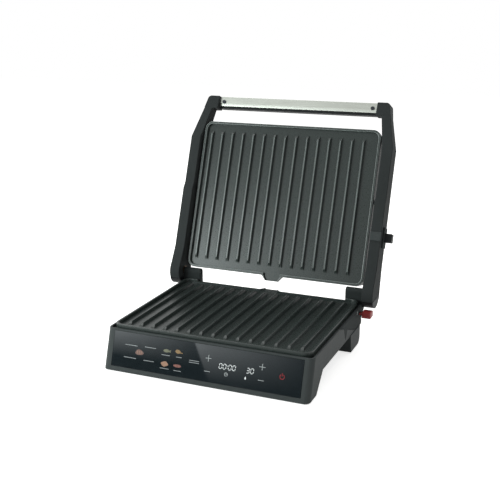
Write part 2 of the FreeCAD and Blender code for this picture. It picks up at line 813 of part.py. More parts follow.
def make_reflector(label, face, half, front, rear, upward):
    """A shallow sheet dish whose flange lies on the face that carries it."""
    body = new_body(label)
    sense = UPWARD if upward else DOWNWARD
    flange = box_points(f"-{half}", half, f"-{front}", rear)
    pad(body, draw_runs(new_sketch(body, "XY_Plane", face), flange), REFLECTOR_DROP, backwards=not upward)
    inset = "reflector_flange"
    well = box_points(f"-{half} + {inset}", f"{half} - {inset}", f"-{front} + {inset}", f"{rear} - {inset}")
    pocket(body, draw_runs(new_sketch(body, "XY_Plane", face), well), f"{REFLECTOR_DROP} - reflector_sheet",
           backwards=upward)
    outer = new_sketch(body, "XY_Plane", f"({face}) + ({sense})*reflector_sheet")
    draw_runs(outer, box_points(f"-{half} - overrun", f"{half} + overrun", f"-{front} - overrun",
                                f"{rear} + overrun"))
    step = "(reflector_flange - reflector_sheet)"
    draw_runs(outer, box_points(f"-{half} + {step}", f"{half} - {step}", f"-{front} + {step}",
                                f"{rear} - {step}"))
    pocket(body, outer, REFLECTOR_DROP, backwards=upward)
    return body


def make_element(label, height):
    """A bent tubular heating element, in two long bows from its two ends."""
    body = new_body(label)
    path = new_sketch(body, "XY_Plane", height)
    inner = "element_loop/2"
    half = "(plate_width/2 - element_side)"
    front = "(-lower_plate_front + element_front_gap)"
    rear = f"({REAR_WALL} - element_rear_gap)"
    route = [
        (f"-{inner}", rear),
        (f"-{inner}", f"{front} + element_loop"),
        (f"-{half}", f"{front} + element_loop"),
        (f"-{half}", front),
        (half, front),
        (half, f"{front} + element_loop"),
        (inner, f"{front} + element_loop"),
        (inner, rear),
    ]
    draw_bent_path(path, route, "element_bend")
    section = draw_ring(new_sketch(body, "XZ_Plane", f"-{rear}"), (f"-{inner}", height), "element_radius")
    pipe = body.newObject("PartDesign::AdditivePipe", "AdditivePipe")
    pipe.Profile = section
    pipe.Spine = path
    doc.recompute()
    return body


def make_base_works():
    """The parts inside the base: reflector, element and sensor."""
    half = f"({WALL_INNER} - frame_play - frame_bar + reflector_flange)"
    front = "(lower_plate_front - frame_setback - frame_bar + reflector_flange)"
    rear = f"({REAR_WALL} - base_wall - frame_play - frame_bar + reflector_flange)"
    keep(make_reflector("lower_reflector", FRAME_LOW, half, front, rear, upward=False))
    keep(make_element("lower_heating_element", f"{PLATE_BACK} - element_radius"))
    keep(post("lower_sensor", ("0", "0"), "sensor_radius", f"{PLATE_BACK} - sensor_height", PLATE_BACK))


def make_power_board():
    """The board that switches the heat, on four posts on the belly cover."""
    body = new_body("power_board")
    across = "power_board_width/2"
    front = f"(-{COVER_FRONT} + power_board_setback)"
    rear = f"({front} + power_board_depth)"
    low = f"({WORKS_TOP} - board_thick)"
    pad(body, draw_runs(new_sketch(body, "XY_Plane", low), box_points(f"-{across}", across, front, rear)),
        "board_thick")
    posts = new_sketch(body, "XY_Plane", low)
    for side in ("-", ""):
        for along in (f"({front} + post_inset)", f"({rear} - post_inset)"):
            spot = f"{side}({across} - post_inset)"
            draw_runs(posts, box_points(f"{spot} - post_half", f"{spot} + post_half", f"{along} - post_half",
                                        f"{along} + post_half"))
    pad(body, posts, f"{low} - {BELLY}", backwards=True)
    return keep(body)


def make_terminal_block():
    """The terminals that the lead's wires are screwed into, on the belly inside the gland."""
    body = new_body("terminal_block")
    left = "(-gland_across - terminal_width/2)"
    rear = f"({REAR_WALL} - base_wall - gland_nut_length - terminal_setback)"
    plan = box_points(left, f"{left} + terminal_width", f"{rear} - terminal_depth", rear)
    pad(body, draw_runs(new_sketch(body, "XY_Plane", FLOOR_TOP), plan), f"{WORKS_TOP} - {FLOOR_TOP}")
    bays = new_sketch(body, "XY_Plane", WORKS_TOP)
    for bay_share in ("1/4", "2/4", "3/4"):
        spot = f"({left} + terminal_width*{bay_share})"
        draw_runs(bays, box_points(f"{spot} - terminal_bay/2", f"{spot} + terminal_bay/2",
                                   f"{rear} - terminal_depth/2 - terminal_bay/2",
                                   f"{rear} - terminal_depth/2 + terminal_bay/2"))
    pocket(body, bays, "terminal_bay_depth")
    return keep(body)


def make_cord_gland():
    """The gland in the rear wall where the mains lead enters."""
    body = new_body("cord_gland")
    rear = f"{REAR_WALL} + gland_collar_length"
    length = "(base_wall + gland_collar_length + gland_nut_length)"
    shank = draw_ring(new_sketch(body, "XZ_Plane", f"-({rear})"), GLAND, "gland_radius - running_play")
    pad(body, shank, length)
    collar = draw_ring(new_sketch(body, "XZ_Plane", f"-{REAR_WALL}"), GLAND, "gland_collar")
    pad(body, collar, "gland_collar_length", backwards=True)
    nut = draw_ring(new_sketch(body, "XZ_Plane", f"-{REAR_WALL} + base_wall"), GLAND, "gland_nut")
    pad(body, nut, "gland_nut_length")
    bore = draw_ring(new_sketch(body, "XZ_Plane", f"-({rear}) - overrun"), GLAND, "gland_bore")
    pocket(body, bore, f"{length} + 2*overrun", backwards=True)
    return keep(body)


# Drip tray
def make_drip_tray():
    """The tray that slides out to the rear, and the pair of rails it hangs in."""
    body = new_body("drip_tray")
    half = f"({FOOT_INNER} - tray_side)"
    front = f"({COVER_REAR} + tray_gap)"
    rear = f"({HINGE_BACK} + tray_behind)"
    top = f"({BELLY} - tray_below)"
    plan = box_points(f"-{half}", half, front, rear)
    pad(body, draw_runs(new_sketch(body, "XY_Plane", "tray_clear"), plan), f"{top} - tray_clear")
    round_edges(body, "tray_corner", lambda edge: edge_runs(edge, "Z"))
    hollow(body, "tray_wall", lambda face: near(face.BoundBox.ZMin, top))
    flange = new_sketch(body, "XY_Plane", top)
    for side in ("-", ""):
        draw_runs(flange, box_points(f"{side}({half} - tray_wall/2)", f"{side}({half} + tray_flange)",
                                     f"{front} + tray_corner", f"{rear} - tray_corner"))
    pad(body, flange, "tray_wall", backwards=True)
    pull = box_points("-tray_pull_half", "tray_pull_half", f"{rear} - tray_wall/2", f"{rear} + tray_pull")
    pad(body, draw_runs(new_sketch(body, "XY_Plane", top), pull), "tray_wall", backwards=True)
    keep(body)
    inner = f"({half} + tray_flange + rail_play)"
    lip_top = f"({top} - tray_wall - rail_play)"
    rail = new_body("tray_rail_right")
    section = [
        (inner, BELLY),
        (inner, lip_top),
        (f"{inner} - rail_lip", lip_top),
        (f"{inner} - rail_lip", f"{lip_top} - rail_wall"),
        (f"{inner} + rail_wall", f"{lip_top} - rail_wall"),
        (f"{inner} + rail_wall", BELLY),
    ]
    rail_rear = f"({REAR_WALL} - rail_setback)"
    sketch = draw_runs(new_sketch(rail, "XZ_Plane", f"-{rail_rear}"), section)
    pad(rail, sketch, f"{rail_rear} - {front} - tray_corner")
    keep(rail)
    keep(other_side(rail, "tray_rail_left"))


# Hinge
def make_tower(label):
    """A hinge tower on the right: its cheek in the side wall and its knuckle behind the plate."""
    body = new_body(label)
    pad(body, draw_runs(new_sketch(body, "YZ_Plane", WALL_INNER), cheek_points()), "base_wall")
    front = f"({HINGE_BACK} - knuckle_radius)"
    rear = f"({HINGE_BACK} + knuckle_radius)"
    neck = [
        (REAR_WALL, f"{BELLY} + heel_rise"),
        (rear, f"{HINGE_HEIGHT} - shoulder_drop"),
        (rear, HINGE_HEIGHT),
        (front, HINGE_HEIGHT),
        (front, f"{PLATE_BACK} - plate_play"),
        (REAR_WALL, f"{PLATE_BACK} - plate_play"),
    ]
    pad(body, draw_runs(new_sketch(body, "YZ_Plane", KNUCKLE_INNER), neck), "knuckle_length")
    knuckle = draw_ring(new_sketch(body, "YZ_Plane", KNUCKLE_INNER), HINGE, "knuckle_radius")
    pad(body, knuckle, "knuckle_length")
    bore_sketch = new_sketch(body, "YZ_Plane", f"{BASE_HALF} + overrun")
    pocket(body, draw_ring(bore_sketch, HINGE, "pin_radius + running_play"), "knuckle_length + 2*overrun")
    return body


def stem_points(play):
    """The release button's stem, seen from the side and grown by the play round it."""
    front = f"({REAR_WALL} - button_setback + stem_inset - {play})"
    rear = f"({REAR_WALL} - button_setback + button_depth - stem_inset + {play})"
    high = f"({FRAME_LOW} - stem_gap + {play})"
    return box_points(front, rear, f"{high} - stem_height - 2*{play}", high)


def make_towers():
    """Both towers, the right one with the button's window, and the two pins that the lid turns on."""
    right = make_tower("hinge_tower_right")
    window = draw_runs(new_sketch(right, "YZ_Plane", f"{BASE_HALF} + overrun"), stem_points("running_play"))
    pocket(right, window, "base_wall + 2*overrun")
    keep(right)
    keep(other_side(make_tower("plain_tower"), "hinge_tower_left"))
    pin = cross_rod("hinge_pin_right", HINGE, "pin_radius", f"{KNUCKLE_INNER} + pin_inset",
                    f"{ARM_OUTER} - bush_cover - pin_inset")
    keep(pin)
    keep(other_side(pin, "hinge_pin_left"))


def make_release_button():
    """The push button below the right arm, on a stem that runs through the tower's cheek."""
    body = new_body("release_button")
    front = f"({REAR_WALL} - button_setback)"
    low = f"({FRAME_LOW} - button_below)"
    inner = f"({BASE_HALF} + button_travel + button_gap)"
    head = box_points(front, f"{front} + button_depth", low, f"{low} + button_height")
    pad(body, draw_runs(new_sketch(body, "YZ_Plane", inner), head), "button_length")
    round_edges(body, "button_round", lambda edge: near(edge.BoundBox.XMin, f"{inner} + button_length"))
    stem = draw_runs(new_sketch(body, "YZ_Plane", inner), stem_points("0"))
    pad(body, stem, "button_travel + button_gap + stem_reach", backwards=True)
    return keep(body)


# Lid arms
def boss_points(near_end, far_end):
    """A broad cut across an arm's boss, between two distances below the hinge when the lid stands open."""
    wide = "(boss_radius + overrun)"

    def spot(out, across):
        along = f"{HINGE_BACK} + ({out})*sin(open_angle) + ({across})*cos(open_angle)"
        height = f"{HINGE_HEIGHT} - ({out})*cos(open_angle) + ({across})*sin(open_angle)"
        return along, height

    return [spot(near_end, wide), spot(near_end, f"-{wide}"), spot(far_end, f"-{wide}"), spot(far_end, wide)]


def join_sections(body, sections):
    """A straight-sided loft through sections across the arm: reach, inner, outer, low and high of each."""
    sketches = []
    for reach, inner, outer, low, high in sections:
        sketches.append(draw_runs(new_sketch(body, "XZ_Plane", reach), box_points(inner, outer, low, high)))
    loft = body.newObject("PartDesign::AdditiveLoft", "AdditiveLoft")
    loft.Profile = sketches[0]
    loft.Sections = sketches[1:]
    loft.Ruled = True
    doc.recompute()


def make_arm(label):
    """A lid arm on the right, drawn closed: boss, flared beam with its step, elbow, neck and end block."""
    body = new_body(label)
    flare = f"{HINGE_BACK} - flare_length"
    step = f"{HINGE_BACK} - step_from_hinge"
    beam = [
        (HINGE_BACK, f"{HINGE_HEIGHT} + boss_radius"),
        (flare, f"{HINGE_HEIGHT} + arm_rise"),
        (f"-{ELBOW}", f"{HINGE_HEIGHT} + arm_rise"),
        (f"-{ELBOW}", f"{HINGE_HEIGHT} - arm_drop_front"),
        (f"{step} - step_run", f"{HINGE_HEIGHT} - arm_drop_mid"),
        (step, f"{HINGE_HEIGHT} - arm_drop_step"),
        (flare, f"{HINGE_HEIGHT} - arm_drop_rear"),
        (HINGE_BACK, f"{HINGE_HEIGHT} - boss_radius"),
    ]
    pad(body, draw_runs(new_sketch(body, "YZ_Plane", ARM_INNER), beam), "arm_width")
    pad(body, draw_ring(new_sketch(body, "YZ_Plane", ARM_INNER), HINGE, "boss_radius"), "arm_width")
    elbow = (ELBOW, ARM_INNER, ARM_OUTER, f"{HINGE_HEIGHT} - arm_drop_front", f"{HINGE_HEIGHT} + arm_rise")
    neck_heights = (f"{HINGE_HEIGHT} + neck_low", f"{HINGE_HEIGHT} + neck_rise")
    block_heights = (f"{HINGE_HEIGHT} + block_low", f"{HINGE_HEIGHT} + block_rise")
    neck_outer = f"{ARM_OUTER} - neck_outset"
    block_outer = f"{ARM_OUTER} - block_outset"
    join_sections(body, [elbow, (NECK, f"{ARM_INNER} - neck_inset", neck_outer, *neck_heights)])
    join_sections(body, [(NECK, HANDLE_HALF, neck_outer, *neck_heights),
                         (HANDLE_FRONT, HANDLE_HALF, block_outer, *block_heights)])

    def block_corner(edge):
        at_end = near(middle(edge).x, block_outer) and near(middle(edge).y, f"-{HANDLE_FRONT}")
        return edge_runs(edge, "Z") and at_end

    round_edges(body, "block_round", block_corner)
    beyond = f"{ARM_OUTER} + overrun"
    cap_cut = boss_points("boss_cap_offset", "boss_radius + overrun")
    pocket(body, draw_runs(new_sketch(body, "YZ_Plane", beyond), cap_cut), "arm_width + 2*overrun")
    bore = draw_ring(new_sketch(body, "YZ_Plane", ARM_INNER), HINGE, "bush_radius + running_play")
    pocket(body, bore, "arm_width - bush_cover", backwards=True)
    pivot = draw_ring(new_sketch(body, "YZ_Plane", ARM_INNER), PIVOT, "pivot_radius + running_play")
    pocket(body, pivot, "pivot_depth", backwards=True)
    return body


def lock_points(play):
    """The outline of the lock's push piece, grown by the play round it."""
    centre = f"({HINGE_BACK} - lock_from_hinge)"
    height = f"({HINGE_HEIGHT} + lock_rise)"
    half = f"(lock_length/2 + {play})"
    depth = f"(lock_depth/2 + {play})"
    return box_points(f"{centre} - {half}", f"{centre} + {half}", f"{height} - {depth}",
                      f"{height} + {depth}")


def make_arms():
    """Both arms, the right one with the lock's recess, and their end caps and bushes."""
    right = make_arm("arm_right")
    recess = draw_runs(new_sketch(right, "YZ_Plane", ARM_OUTER), lock_points("lock_play"))
    pocket(right, recess, "lock_sunk + lock_travel + lock_play")
    keep(swing_open(right))
    keep(other_side(swing_open(make_arm("plain_arm")), "arm_left"))
    cap = new_body("hinge_cap_right")
    pad(cap, draw_ring(new_sketch(cap, "YZ_Plane", ARM_INNER), HINGE, "boss_radius"), "arm_width")
    kept_out = draw_runs(new_sketch(cap, "YZ_Plane", f"{ARM_OUTER} + overrun"),
                         boss_points("-boss_radius - overrun", "boss_cap_offset"))
    pocket(cap, kept_out, "arm_width + 2*overrun")
    keep(swing_open(cap))
    keep(other_side(cap, "hinge_cap_left"))
    bush = cross_rod("hinge_bush_right", HINGE, "bush_radius", ARM_INNER, f"{ARM_OUTER} - bush_cover")
    hole_sketch = new_sketch(bush, "YZ_Plane", f"{ARM_OUTER} + overrun")
    pocket(bush, draw_ring(hole_sketch, HINGE, "pin_radius + running_play"), "arm_width + 2*overrun")
    keep(swing_open(bush))
    keep(other_side(bush, "hinge_bush_left"))


# Handle
def handle_screw_spots():
    """Where the two screws hold the handle's strip."""
    along = f"-({HANDLE_FRONT} - strip_edge - strip_depth/2)"
    across = f"({HANDLE_HALF} - handle_screw_inset)"
    return [(f"-{across}", along), (across, along)]


def make_handle():
    """The handle: a moulded grip between the arms, faced with a metal strip that two screws hold."""
    low = f"({HINGE_HEIGHT} + strip_low)"
    seat = f"({low} + strip_thick)"
    high = f"({HINGE_HEIGHT} + block_rise)"
    corners = box_points(f"-{HANDLE_FRONT}", f"-{HANDLE_FRONT} + grip_depth", seat, high)
    grip = slab("handle_grip", f"2*{HANDLE_HALF}", corners)
    round_edges(grip, "grip_round", lambda edge: edge_runs(edge, "X") and near(middle(edge).z, high))
    holes = new_sketch(grip, "XY_Plane", seat)
    for spot in handle_screw_spots():
        draw_ring(holes, spot, "screw_shank + screw_play")
    pocket(grip, holes, "handle_screw_depth", backwards=True)
    keep(swing_open(grip))
    strip_front = f"-{HANDLE_FRONT} + strip_edge"
    corners = box_points(strip_front, f"{strip_front} + strip_depth", low, seat)
    strip = slab("handle_strip", f"2*{HANDLE_HALF}", corners)
    holes = new_sketch(strip, "XY_Plane", seat)
    for spot in handle_screw_spots():
        draw_ring(holes, spot, "screw_shank + screw_play")
    pocket(strip, holes, "strip_thick + overrun")
    keep(swing_open(strip))
    screws = []
    for index, spot in enumerate(handle_screw_spots(), 1):
        screw = post(f"handle_screw_{index}", spot, "screw_head", f"{low} - screw_head_height", low)
        shank = draw_ring(new_sketch(screw, "XY_Plane", low), spot, "screw_shank")
        pad(screw, shank, "strip_thick + handle_screw_depth - screw_play")
        screws.append(swing_open(screw))
    keep(group("handle_screws", screws))


def make_lock():
    """The lock on the right arm: a guide on its outer face and the push piece that runs in it."""
    guide = new_body("lock_guide")
    centre = f"({HINGE_BACK} - lock_from_hinge)"
    height = f"({HINGE_HEIGHT} + lock_rise)"
    outline = box_points(f"{centre} - guide_length/2", f"{centre} + guide_length/2",
                         f"{height} - guide_depth/2", f"{height} + guide_depth/2")
    pad(guide, draw_runs(new_sketch(guide, "YZ_Plane", ARM_OUTER), outline), "guide_stand")
    face = f"{ARM_OUTER} + guide_stand"
    round_edges(guide, "guide_round", lambda edge: near(edge.BoundBox.XMin, face))
    mouth = draw_runs(new_sketch(guide, "YZ_Plane", f"{face} + overrun"), lock_points("lock_play"))
    pocket(guide, mouth, "guide_stand + 2*overrun")
    keep(swing_open(guide))
    bolt = new_body("lock_button")
    sketch = draw_runs(new_sketch(bolt, "YZ_Plane", f"{ARM_OUTER} - lock_sunk"), lock_points("0"))
    pad(bolt, sketch, "lock_sunk + lock_stand")
    round_edges(bolt, "lock_round", lambda edge: near(edge.BoundBox.XMin, f"{ARM_OUTER} + lock_stand"))
    keep(swing_open(bolt))


# Lid head
def make_head():
    """The floating head: housing, cover plate, pivots, reflector, element and sensor."""
    body = new_body("upper_housing")
    plan = box_points(f"-{HEAD_HALF}", HEAD_HALF, f"-{HEAD_FRONT}", HEAD_REAR)
    pad(body, draw_runs(new_sketch(body, "XY_Plane", UPPER_BACK), plan), f"{HEAD_TOP} - {UPPER_BACK}")
    round_edges(body, "head_corner", lambda edge: edge_runs(edge, "Z"))
    hollow(body, "head_wall", lambda face: near(face.BoundBox.ZMax, UPPER_BACK))
    round_edges(body, "head_round", lambda edge: near(edge.BoundBox.ZMin, HEAD_TOP))
    pivots = draw_ring(new_sketch(body, "YZ_Plane"), PIVOT, "pivot_radius + running_play")
    pocket(body, pivots, f"2*{HEAD_HALF} + overrun", both=True)
    inset = "cover_plate_inset"
    recess = box_points(f"-{HEAD_HALF} + {inset}", f"{HEAD_HALF} - {inset}", f"-{HEAD_FRONT} + {inset}",
                        f"{HEAD_REAR} - {inset}")
    pocket(body, draw_runs(new_sketch(body, "XY_Plane", HEAD_TOP), recess), "cover_plate_thick")
    keep(swing_open(body))
    plate = new_body("lid_cover_plate")
    sketch = draw_runs(new_sketch(plate, "XY_Plane", f"{HEAD_TOP} - cover_plate_thick"), recess)
    pad(plate, sketch, "cover_plate_thick")
    keep(swing_open(plate))
    pin = cross_rod("pivot_pin_right", PIVOT, "pivot_radius", f"{HEAD_HALF} - pivot_sunk",
                    f"{ARM_INNER} + pivot_depth - pin_inset")
    keep(swing_open(pin))
    keep(other_side(pin, "pivot_pin_left"))


def make_head_works():
    """What lies on the upper plate's back: reflector, element and sensor."""
    inset = "(head_wall + frame_bar)"
    spread = (f"({HEAD_HALF} - {inset})", f"({HEAD_FRONT} - {inset})", f"({HEAD_REAR} - {inset})")
    keep(swing_open(make_reflector("upper_reflector", UPPER_BACK, *spread, upward=True)))
    keep(swing_open(make_element("upper_heating_element", f"{UPPER_BACK} + element_radius")))
    sensor = post("upper_sensor", ("0", "0"), "sensor_radius", UPPER_BACK, f"{UPPER_BACK} + sensor_height")
    keep(swing_open(sensor))


def check_all():
    """Stops unless every object is sound and every piece is a valid solid or group of solids."""
    for item in doc.Objects:
        bad = {"Invalid", "Error"} & set(item.State)
        if bad:
            raise RuntimeError(f"{item.Label} ({item.TypeId}): {item.State}")
    for piece in pieces:
        shape = piece.Shape
        if shape.isNull() or not shape.isValid() or not shape.Solids:
            raise RuntimeError(f"{piece.Label} has no valid solid")
        print(piece.Label, len(shape.Solids), round(shape.Volume))


make_lower_plate()
make_base_housing()
make_belly_cover()
make_foot_pads()
make_control_panel()
make_base_frame()
make_base_works()
make_power_board()
make_terminal_block()
make_cord_gland()
make_drip_tray()
make_towers()
make_release_button()
make_arms()
make_handle()
make_lock()
make_upper_plate()
make_head()
make_head_works()
doc.recompute()
check_all()

os.makedirs("parts", exist_ok=True)
for piece in pieces:
    piece.Shape.exportStep(f"parts/{piece.Label}.step")
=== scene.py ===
"""Dresses the contact grill: finishes, rounded mouldings, panel print, studio light and camera."""

from __future__ import annotations

import json
import logging
import math
from dataclasses import dataclass, field, replace
from enum import Enum

import bmesh
import bpy
from mathutils import Matrix, Vector

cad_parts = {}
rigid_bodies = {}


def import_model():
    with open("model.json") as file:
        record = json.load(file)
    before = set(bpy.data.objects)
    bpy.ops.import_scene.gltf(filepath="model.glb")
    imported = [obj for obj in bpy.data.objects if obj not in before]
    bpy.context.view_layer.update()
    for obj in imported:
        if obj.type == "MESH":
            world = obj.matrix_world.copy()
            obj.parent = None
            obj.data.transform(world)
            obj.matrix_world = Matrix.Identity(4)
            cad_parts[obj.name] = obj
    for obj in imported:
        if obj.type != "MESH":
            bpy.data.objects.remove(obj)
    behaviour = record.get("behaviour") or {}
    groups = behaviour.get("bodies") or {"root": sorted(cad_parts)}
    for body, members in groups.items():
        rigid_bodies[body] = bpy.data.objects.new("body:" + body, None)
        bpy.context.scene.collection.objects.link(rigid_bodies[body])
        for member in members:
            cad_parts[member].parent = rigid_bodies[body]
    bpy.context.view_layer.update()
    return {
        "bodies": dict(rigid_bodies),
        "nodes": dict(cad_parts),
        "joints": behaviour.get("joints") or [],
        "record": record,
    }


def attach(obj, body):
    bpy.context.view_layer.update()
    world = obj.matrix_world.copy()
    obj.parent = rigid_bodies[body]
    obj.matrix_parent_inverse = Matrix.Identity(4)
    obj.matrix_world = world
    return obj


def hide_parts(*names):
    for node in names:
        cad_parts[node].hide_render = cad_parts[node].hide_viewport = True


LOG = logging.getLogger("contact_grill")
MM = 0.001
# Corners this close to a plane count as lying in it.
SAME_PLANE = 0.05 * MM
RIGHT = Vector((1, 0, 0))
UP = (0.0, 0.0, 1.0)
# The way the upper plate and the handle face at rest, with the lid leaning back 20 degrees.
FORWARD = (0.0, -0.9397, 0.342)
WHITE = "#FFFFFF"

Point = tuple[float, float]
Place = tuple[float, float, float]
Outline = list[Point]


def linear(colour: str) -> tuple[float, float, float, float]:
    """Turns an sRGB hex colour into linear light.

    Args:
        colour: six hex digits after a hash sign.

    Returns:
        Red, green, blue and an alpha of 1.
    """
    levels = [int(colour[place:place + 2], 16) / 255 for place in (1, 3, 5)]
    light = [level / 12.92 if level <= 0.04045 else ((level + 0.055) / 1.055) ** 2.4 for level in levels]
    return (*light, 1.0)


def add_node(
    tree: bpy.types.NodeTree,
    kind: str,
    settings: dict[str | int, object] | None = None,
    links: dict[str | int, bpy.types.NodeSocket] | None = None,
) -> bpy.types.Node:
    """Adds one shader node, sets its values and links its inputs.

    Args:
        tree: node tree that gets the node.
        kind: the node's type, without its ShaderNode prefix.
        settings: properties by name, and input values by socket name or number.
        links: output sockets, by the name or number of the input that each feeds.

    Returns:
        The new node.
    """
    node = tree.nodes.new(f"ShaderNode{kind}")
    for name, value in (settings or {}).items():
        if isinstance(name, int) or name in node.inputs:
            node.inputs[name].default_value = value
        else:
            setattr(node, name, value)
    for name, output in (links or {}).items():
        tree.links.new(output, node.inputs[name])
    return node


def new_material(name: str) -> bpy.types.Material:
    """Makes a material with an empty node tree.

    Args:
        name: the material's name.

    Returns:
        The new material.
    """
    material = bpy.data.materials.new(name)
    material.use_nodes = True
    material.node_tree.nodes.clear()
    return material


class Grain(Enum):
    """How a surface was made, which sets the direction of its grain."""

    MOULDED = (1.0, 1.0, 1.0)
    BRUSHED = (0.012, 1.0, 1.0)


@dataclass(frozen=True)
class Finish:
    """One real material and the way its surface was made.

    The grain is a bump in millimetres, which also moves the gloss a little. The drift is the slow change of
    tone over a moulding or casting. The spans are the levels of noise over which tone and gloss change.
    """

    name: str
    colour: str
    roughness: float
    metallic: float = 0.0
    ior: float = 1.5
    grain: Grain = Grain.MOULDED
    grain_mm: float = 0.8
    grain_depth_mm: float = 0.02
    grain_detail: float = 3.0
    grain_in_tone: float = 0.5
    drift_mm: float = 60.0
    drift_detail: float = 2.0
    drift: float = 0.12
    tone_span: Point = (0.4, 1.1)
    gloss_drift: float = 0.06
    gloss_span: Point = (0.3, 0.7)
    coat: float = 0.0
    coat_roughness: float = 0.08
    glow: float = 0.0

    def build(self) -> bpy.types.Material:
        """Makes the material's nodes.

        Returns:
            The new material.
        """
        material = new_material(self.name)
        tree = material.node_tree
        place = add_node(tree, "TexCoord").outputs["Object"]
        stretched = add_node(tree, "Mapping", {"Scale": self.grain.value}, {"Vector": place})
        fine = add_node(tree, "TexNoise", {
            "Scale": 1 / (self.grain_mm * MM),
            "Detail": self.grain_detail,
        }, {"Vector": stretched.outputs["Vector"]})
        slow = add_node(tree, "TexNoise", {
            "Scale": 1 / (self.drift_mm * MM),
            "Detail": self.drift_detail,
        }, {"Vector": place})
        both = add_node(tree, "Math", {
            "operation": "MULTIPLY_ADD",
            1: self.grain_in_tone,
        }, {0: fine.outputs["Fac"], 2: slow.outputs["Fac"]})
        tone = add_node(tree, "MapRange", {
            "From Min": self.tone_span[0],
            "From Max": self.tone_span[1],
            "To Min": 1 - self.drift,
            "To Max": 1 + self.drift,
        }, {"Value": both.outputs[0]})
        colour = add_node(tree, "VectorMath", {
            "operation": "SCALE",
            0: linear(self.colour)[:3],
        }, {"Scale": tone.outputs[0]})
        rough = add_node(tree, "MapRange", {
            "From Min": self.gloss_span[0],
            "From Max": self.gloss_span[1],
            "To Min": self.roughness - self.gloss_drift,
            "To Max": self.roughness + self.gloss_drift,
        }, {"Value": fine.outputs["Fac"]})
        bump = add_node(tree, "Bump", {
            "Distance": self.grain_depth_mm * MM,
            "Strength": 1.0,
        }, {"Height": fine.outputs["Fac"]})
        surface = add_node(tree, "BsdfPrincipled", {
            "Metallic": self.metallic,
            "IOR": self.ior,
            "Coat Weight": self.coat,
            "Coat Roughness": self.coat_roughness,
        }, {
            "Base Color": colour.outputs[0],
            "Roughness": rough.outputs[0],
            "Normal": bump.outputs["Normal"],
        })
        if self.glow:
            surface.inputs["Emission Color"].default_value = linear(self.colour)
            surface.inputs["Emission Strength"].default_value = self.glow
        add_node(tree, "OutputMaterial", links={"Surface": surface.outputs[0]})
        return material


# Most of the real grains are too fine to show in the render, so they are drawn coarser, at 0.5 to 2 mm.

# Cast aluminium under a sprayed non-stick coat: grey-green, silky, with the fine orange peel of the spray.
NONSTICK = Finish("nonstick_coated_cast_aluminium", "#2A312F", roughness=0.3, ior=1.38, grain_mm=1.1,
                  grain_depth_mm=0.03, drift_mm=90.0, drift=0.1)
# The same coat, paler and a little shinier, over the crests and the rim's edges: a painted highlight where
# they catch the light.
CREST_HIGHLIGHT = Finish("nonstick_painted_crest_highlight", "#646B69", roughness=0.26, ior=1.42, grain_mm=1.1,
               drift=0.15)
# Moulded heat-resistant polyester: charcoal, with a spark-eroded skin that scatters light softly. The dark
# resins have a low IOR, because the white surround would otherwise grey them where they turn away.
CASING = Finish("spark_eroded_polyester_charcoal", "#3D4141", roughness=0.42, ior=1.15, grain_mm=0.9,
                grain_depth_mm=0.025)
# The same resin in the arms: darker and a little more matt.
ARM_RESIN = replace(CASING, name="spark_eroded_polyester_arms", colour="#323535", roughness=0.5,
                    ior=1.08)
# The same resin in the hinge towers: as dark as the arms, and the most matt.
TOWER_RESIN = replace(CASING, name="spark_eroded_polyester_black", colour="#303434", roughness=0.6,
                      ior=1.12)
# Moulded phenolic: black and satin where the hand holds it.
GRIP_RESIN = Finish("moulded_phenolic_black", "#1E2021", roughness=0.42, ior=1.2, grain_mm=0.7)
# Toughened glass, painted black on its back: a mirror-smooth dark face with faint wipe marks.
PANEL_GLASS = Finish("back_painted_toughened_glass", "#1B2124", roughness=0.04, ior=1.52, grain_mm=25.0,
                     grain_depth_mm=0.0, gloss_drift=0.015, drift=0.05)
# Extruded aluminium, brushed along its length and clear anodised: pale, with a long streaked sheen.
STRIP_METAL = Finish("brushed_anodised_aluminium", "#A9ACA5", roughness=0.36, metallic=1.0,
                     grain=Grain.BRUSHED, grain_mm=0.5, grain_depth_mm=0.002, drift=0.05)
# Rolled aluminium sheet with a mill finish: pale, with broad soft streaks.
SHEET_METAL = Finish("mill_finish_aluminium_sheet", "#AEB1B2", roughness=0.38, metallic=1.0,
                     grain=Grain.BRUSHED, grain_mm=0.6, grain_depth_mm=0.006, drift=0.08, gloss_drift=0.08)
# Stainless sheet, brushed along its length: grey, with streaks that run the way of the belt.
LID_STEEL = Finish("brushed_stainless_sheet", "#86898A", roughness=0.36, metallic=1.0,
                   grain=Grain.BRUSHED, grain_mm=1.3, grain_depth_mm=0.004, drift_mm=300.0, drift=0.16,
                   gloss_drift=0.1)
# Zinc-plated steel: cool grey with a cloudy bright plating.
ZINC = Finish("zinc_plated_steel", "#8D9092", roughness=0.32, metallic=1.0, grain_mm=1.6,
              grain_depth_mm=0.01, drift=0.1)
# Black-oxide steel: dark screw heads with a soft oily sheen.
BLACK_OXIDE = Finish("black_oxide_steel", "#34363A", roughness=0.42, metallic=1.0, grain_mm=0.7,
                     grain_depth_mm=0.006)
# Powder-coated steel sheet: black, with the coat's fine orange peel.
POWDER = Finish("powder_coated_steel", "#1B1C1D", roughness=0.5, grain_mm=1.4, grain_depth_mm=0.04)
# Steel sheath of a tubular element, stained brown by heat in uneven patches.
SHEATH = Finish("heat_stained_steel_sheath", "#5B534B", roughness=0.45, metallic=1.0, grain_mm=2.0,
                drift=0.25)
# Oil-filled sintered bronze: dark brown and porous.
BRONZE = Finish("oiled_sintered_bronze", "#4B3C2A", roughness=0.5, metallic=1.0, grain_mm=0.5,
                grain_depth_mm=0.03)
# Glass-fibre board under green solder mask, which coats it with a thin gloss.
BOARD = Finish("solder_masked_glass_fibre", "#1E5A37", roughness=0.35, grain_mm=1.0, coat=0.4)
# Moulded polyamide, undyed: cream and waxy.
POLYAMIDE = Finish("moulded_polyamide_natural", "#CFCBBD", roughness=0.5)
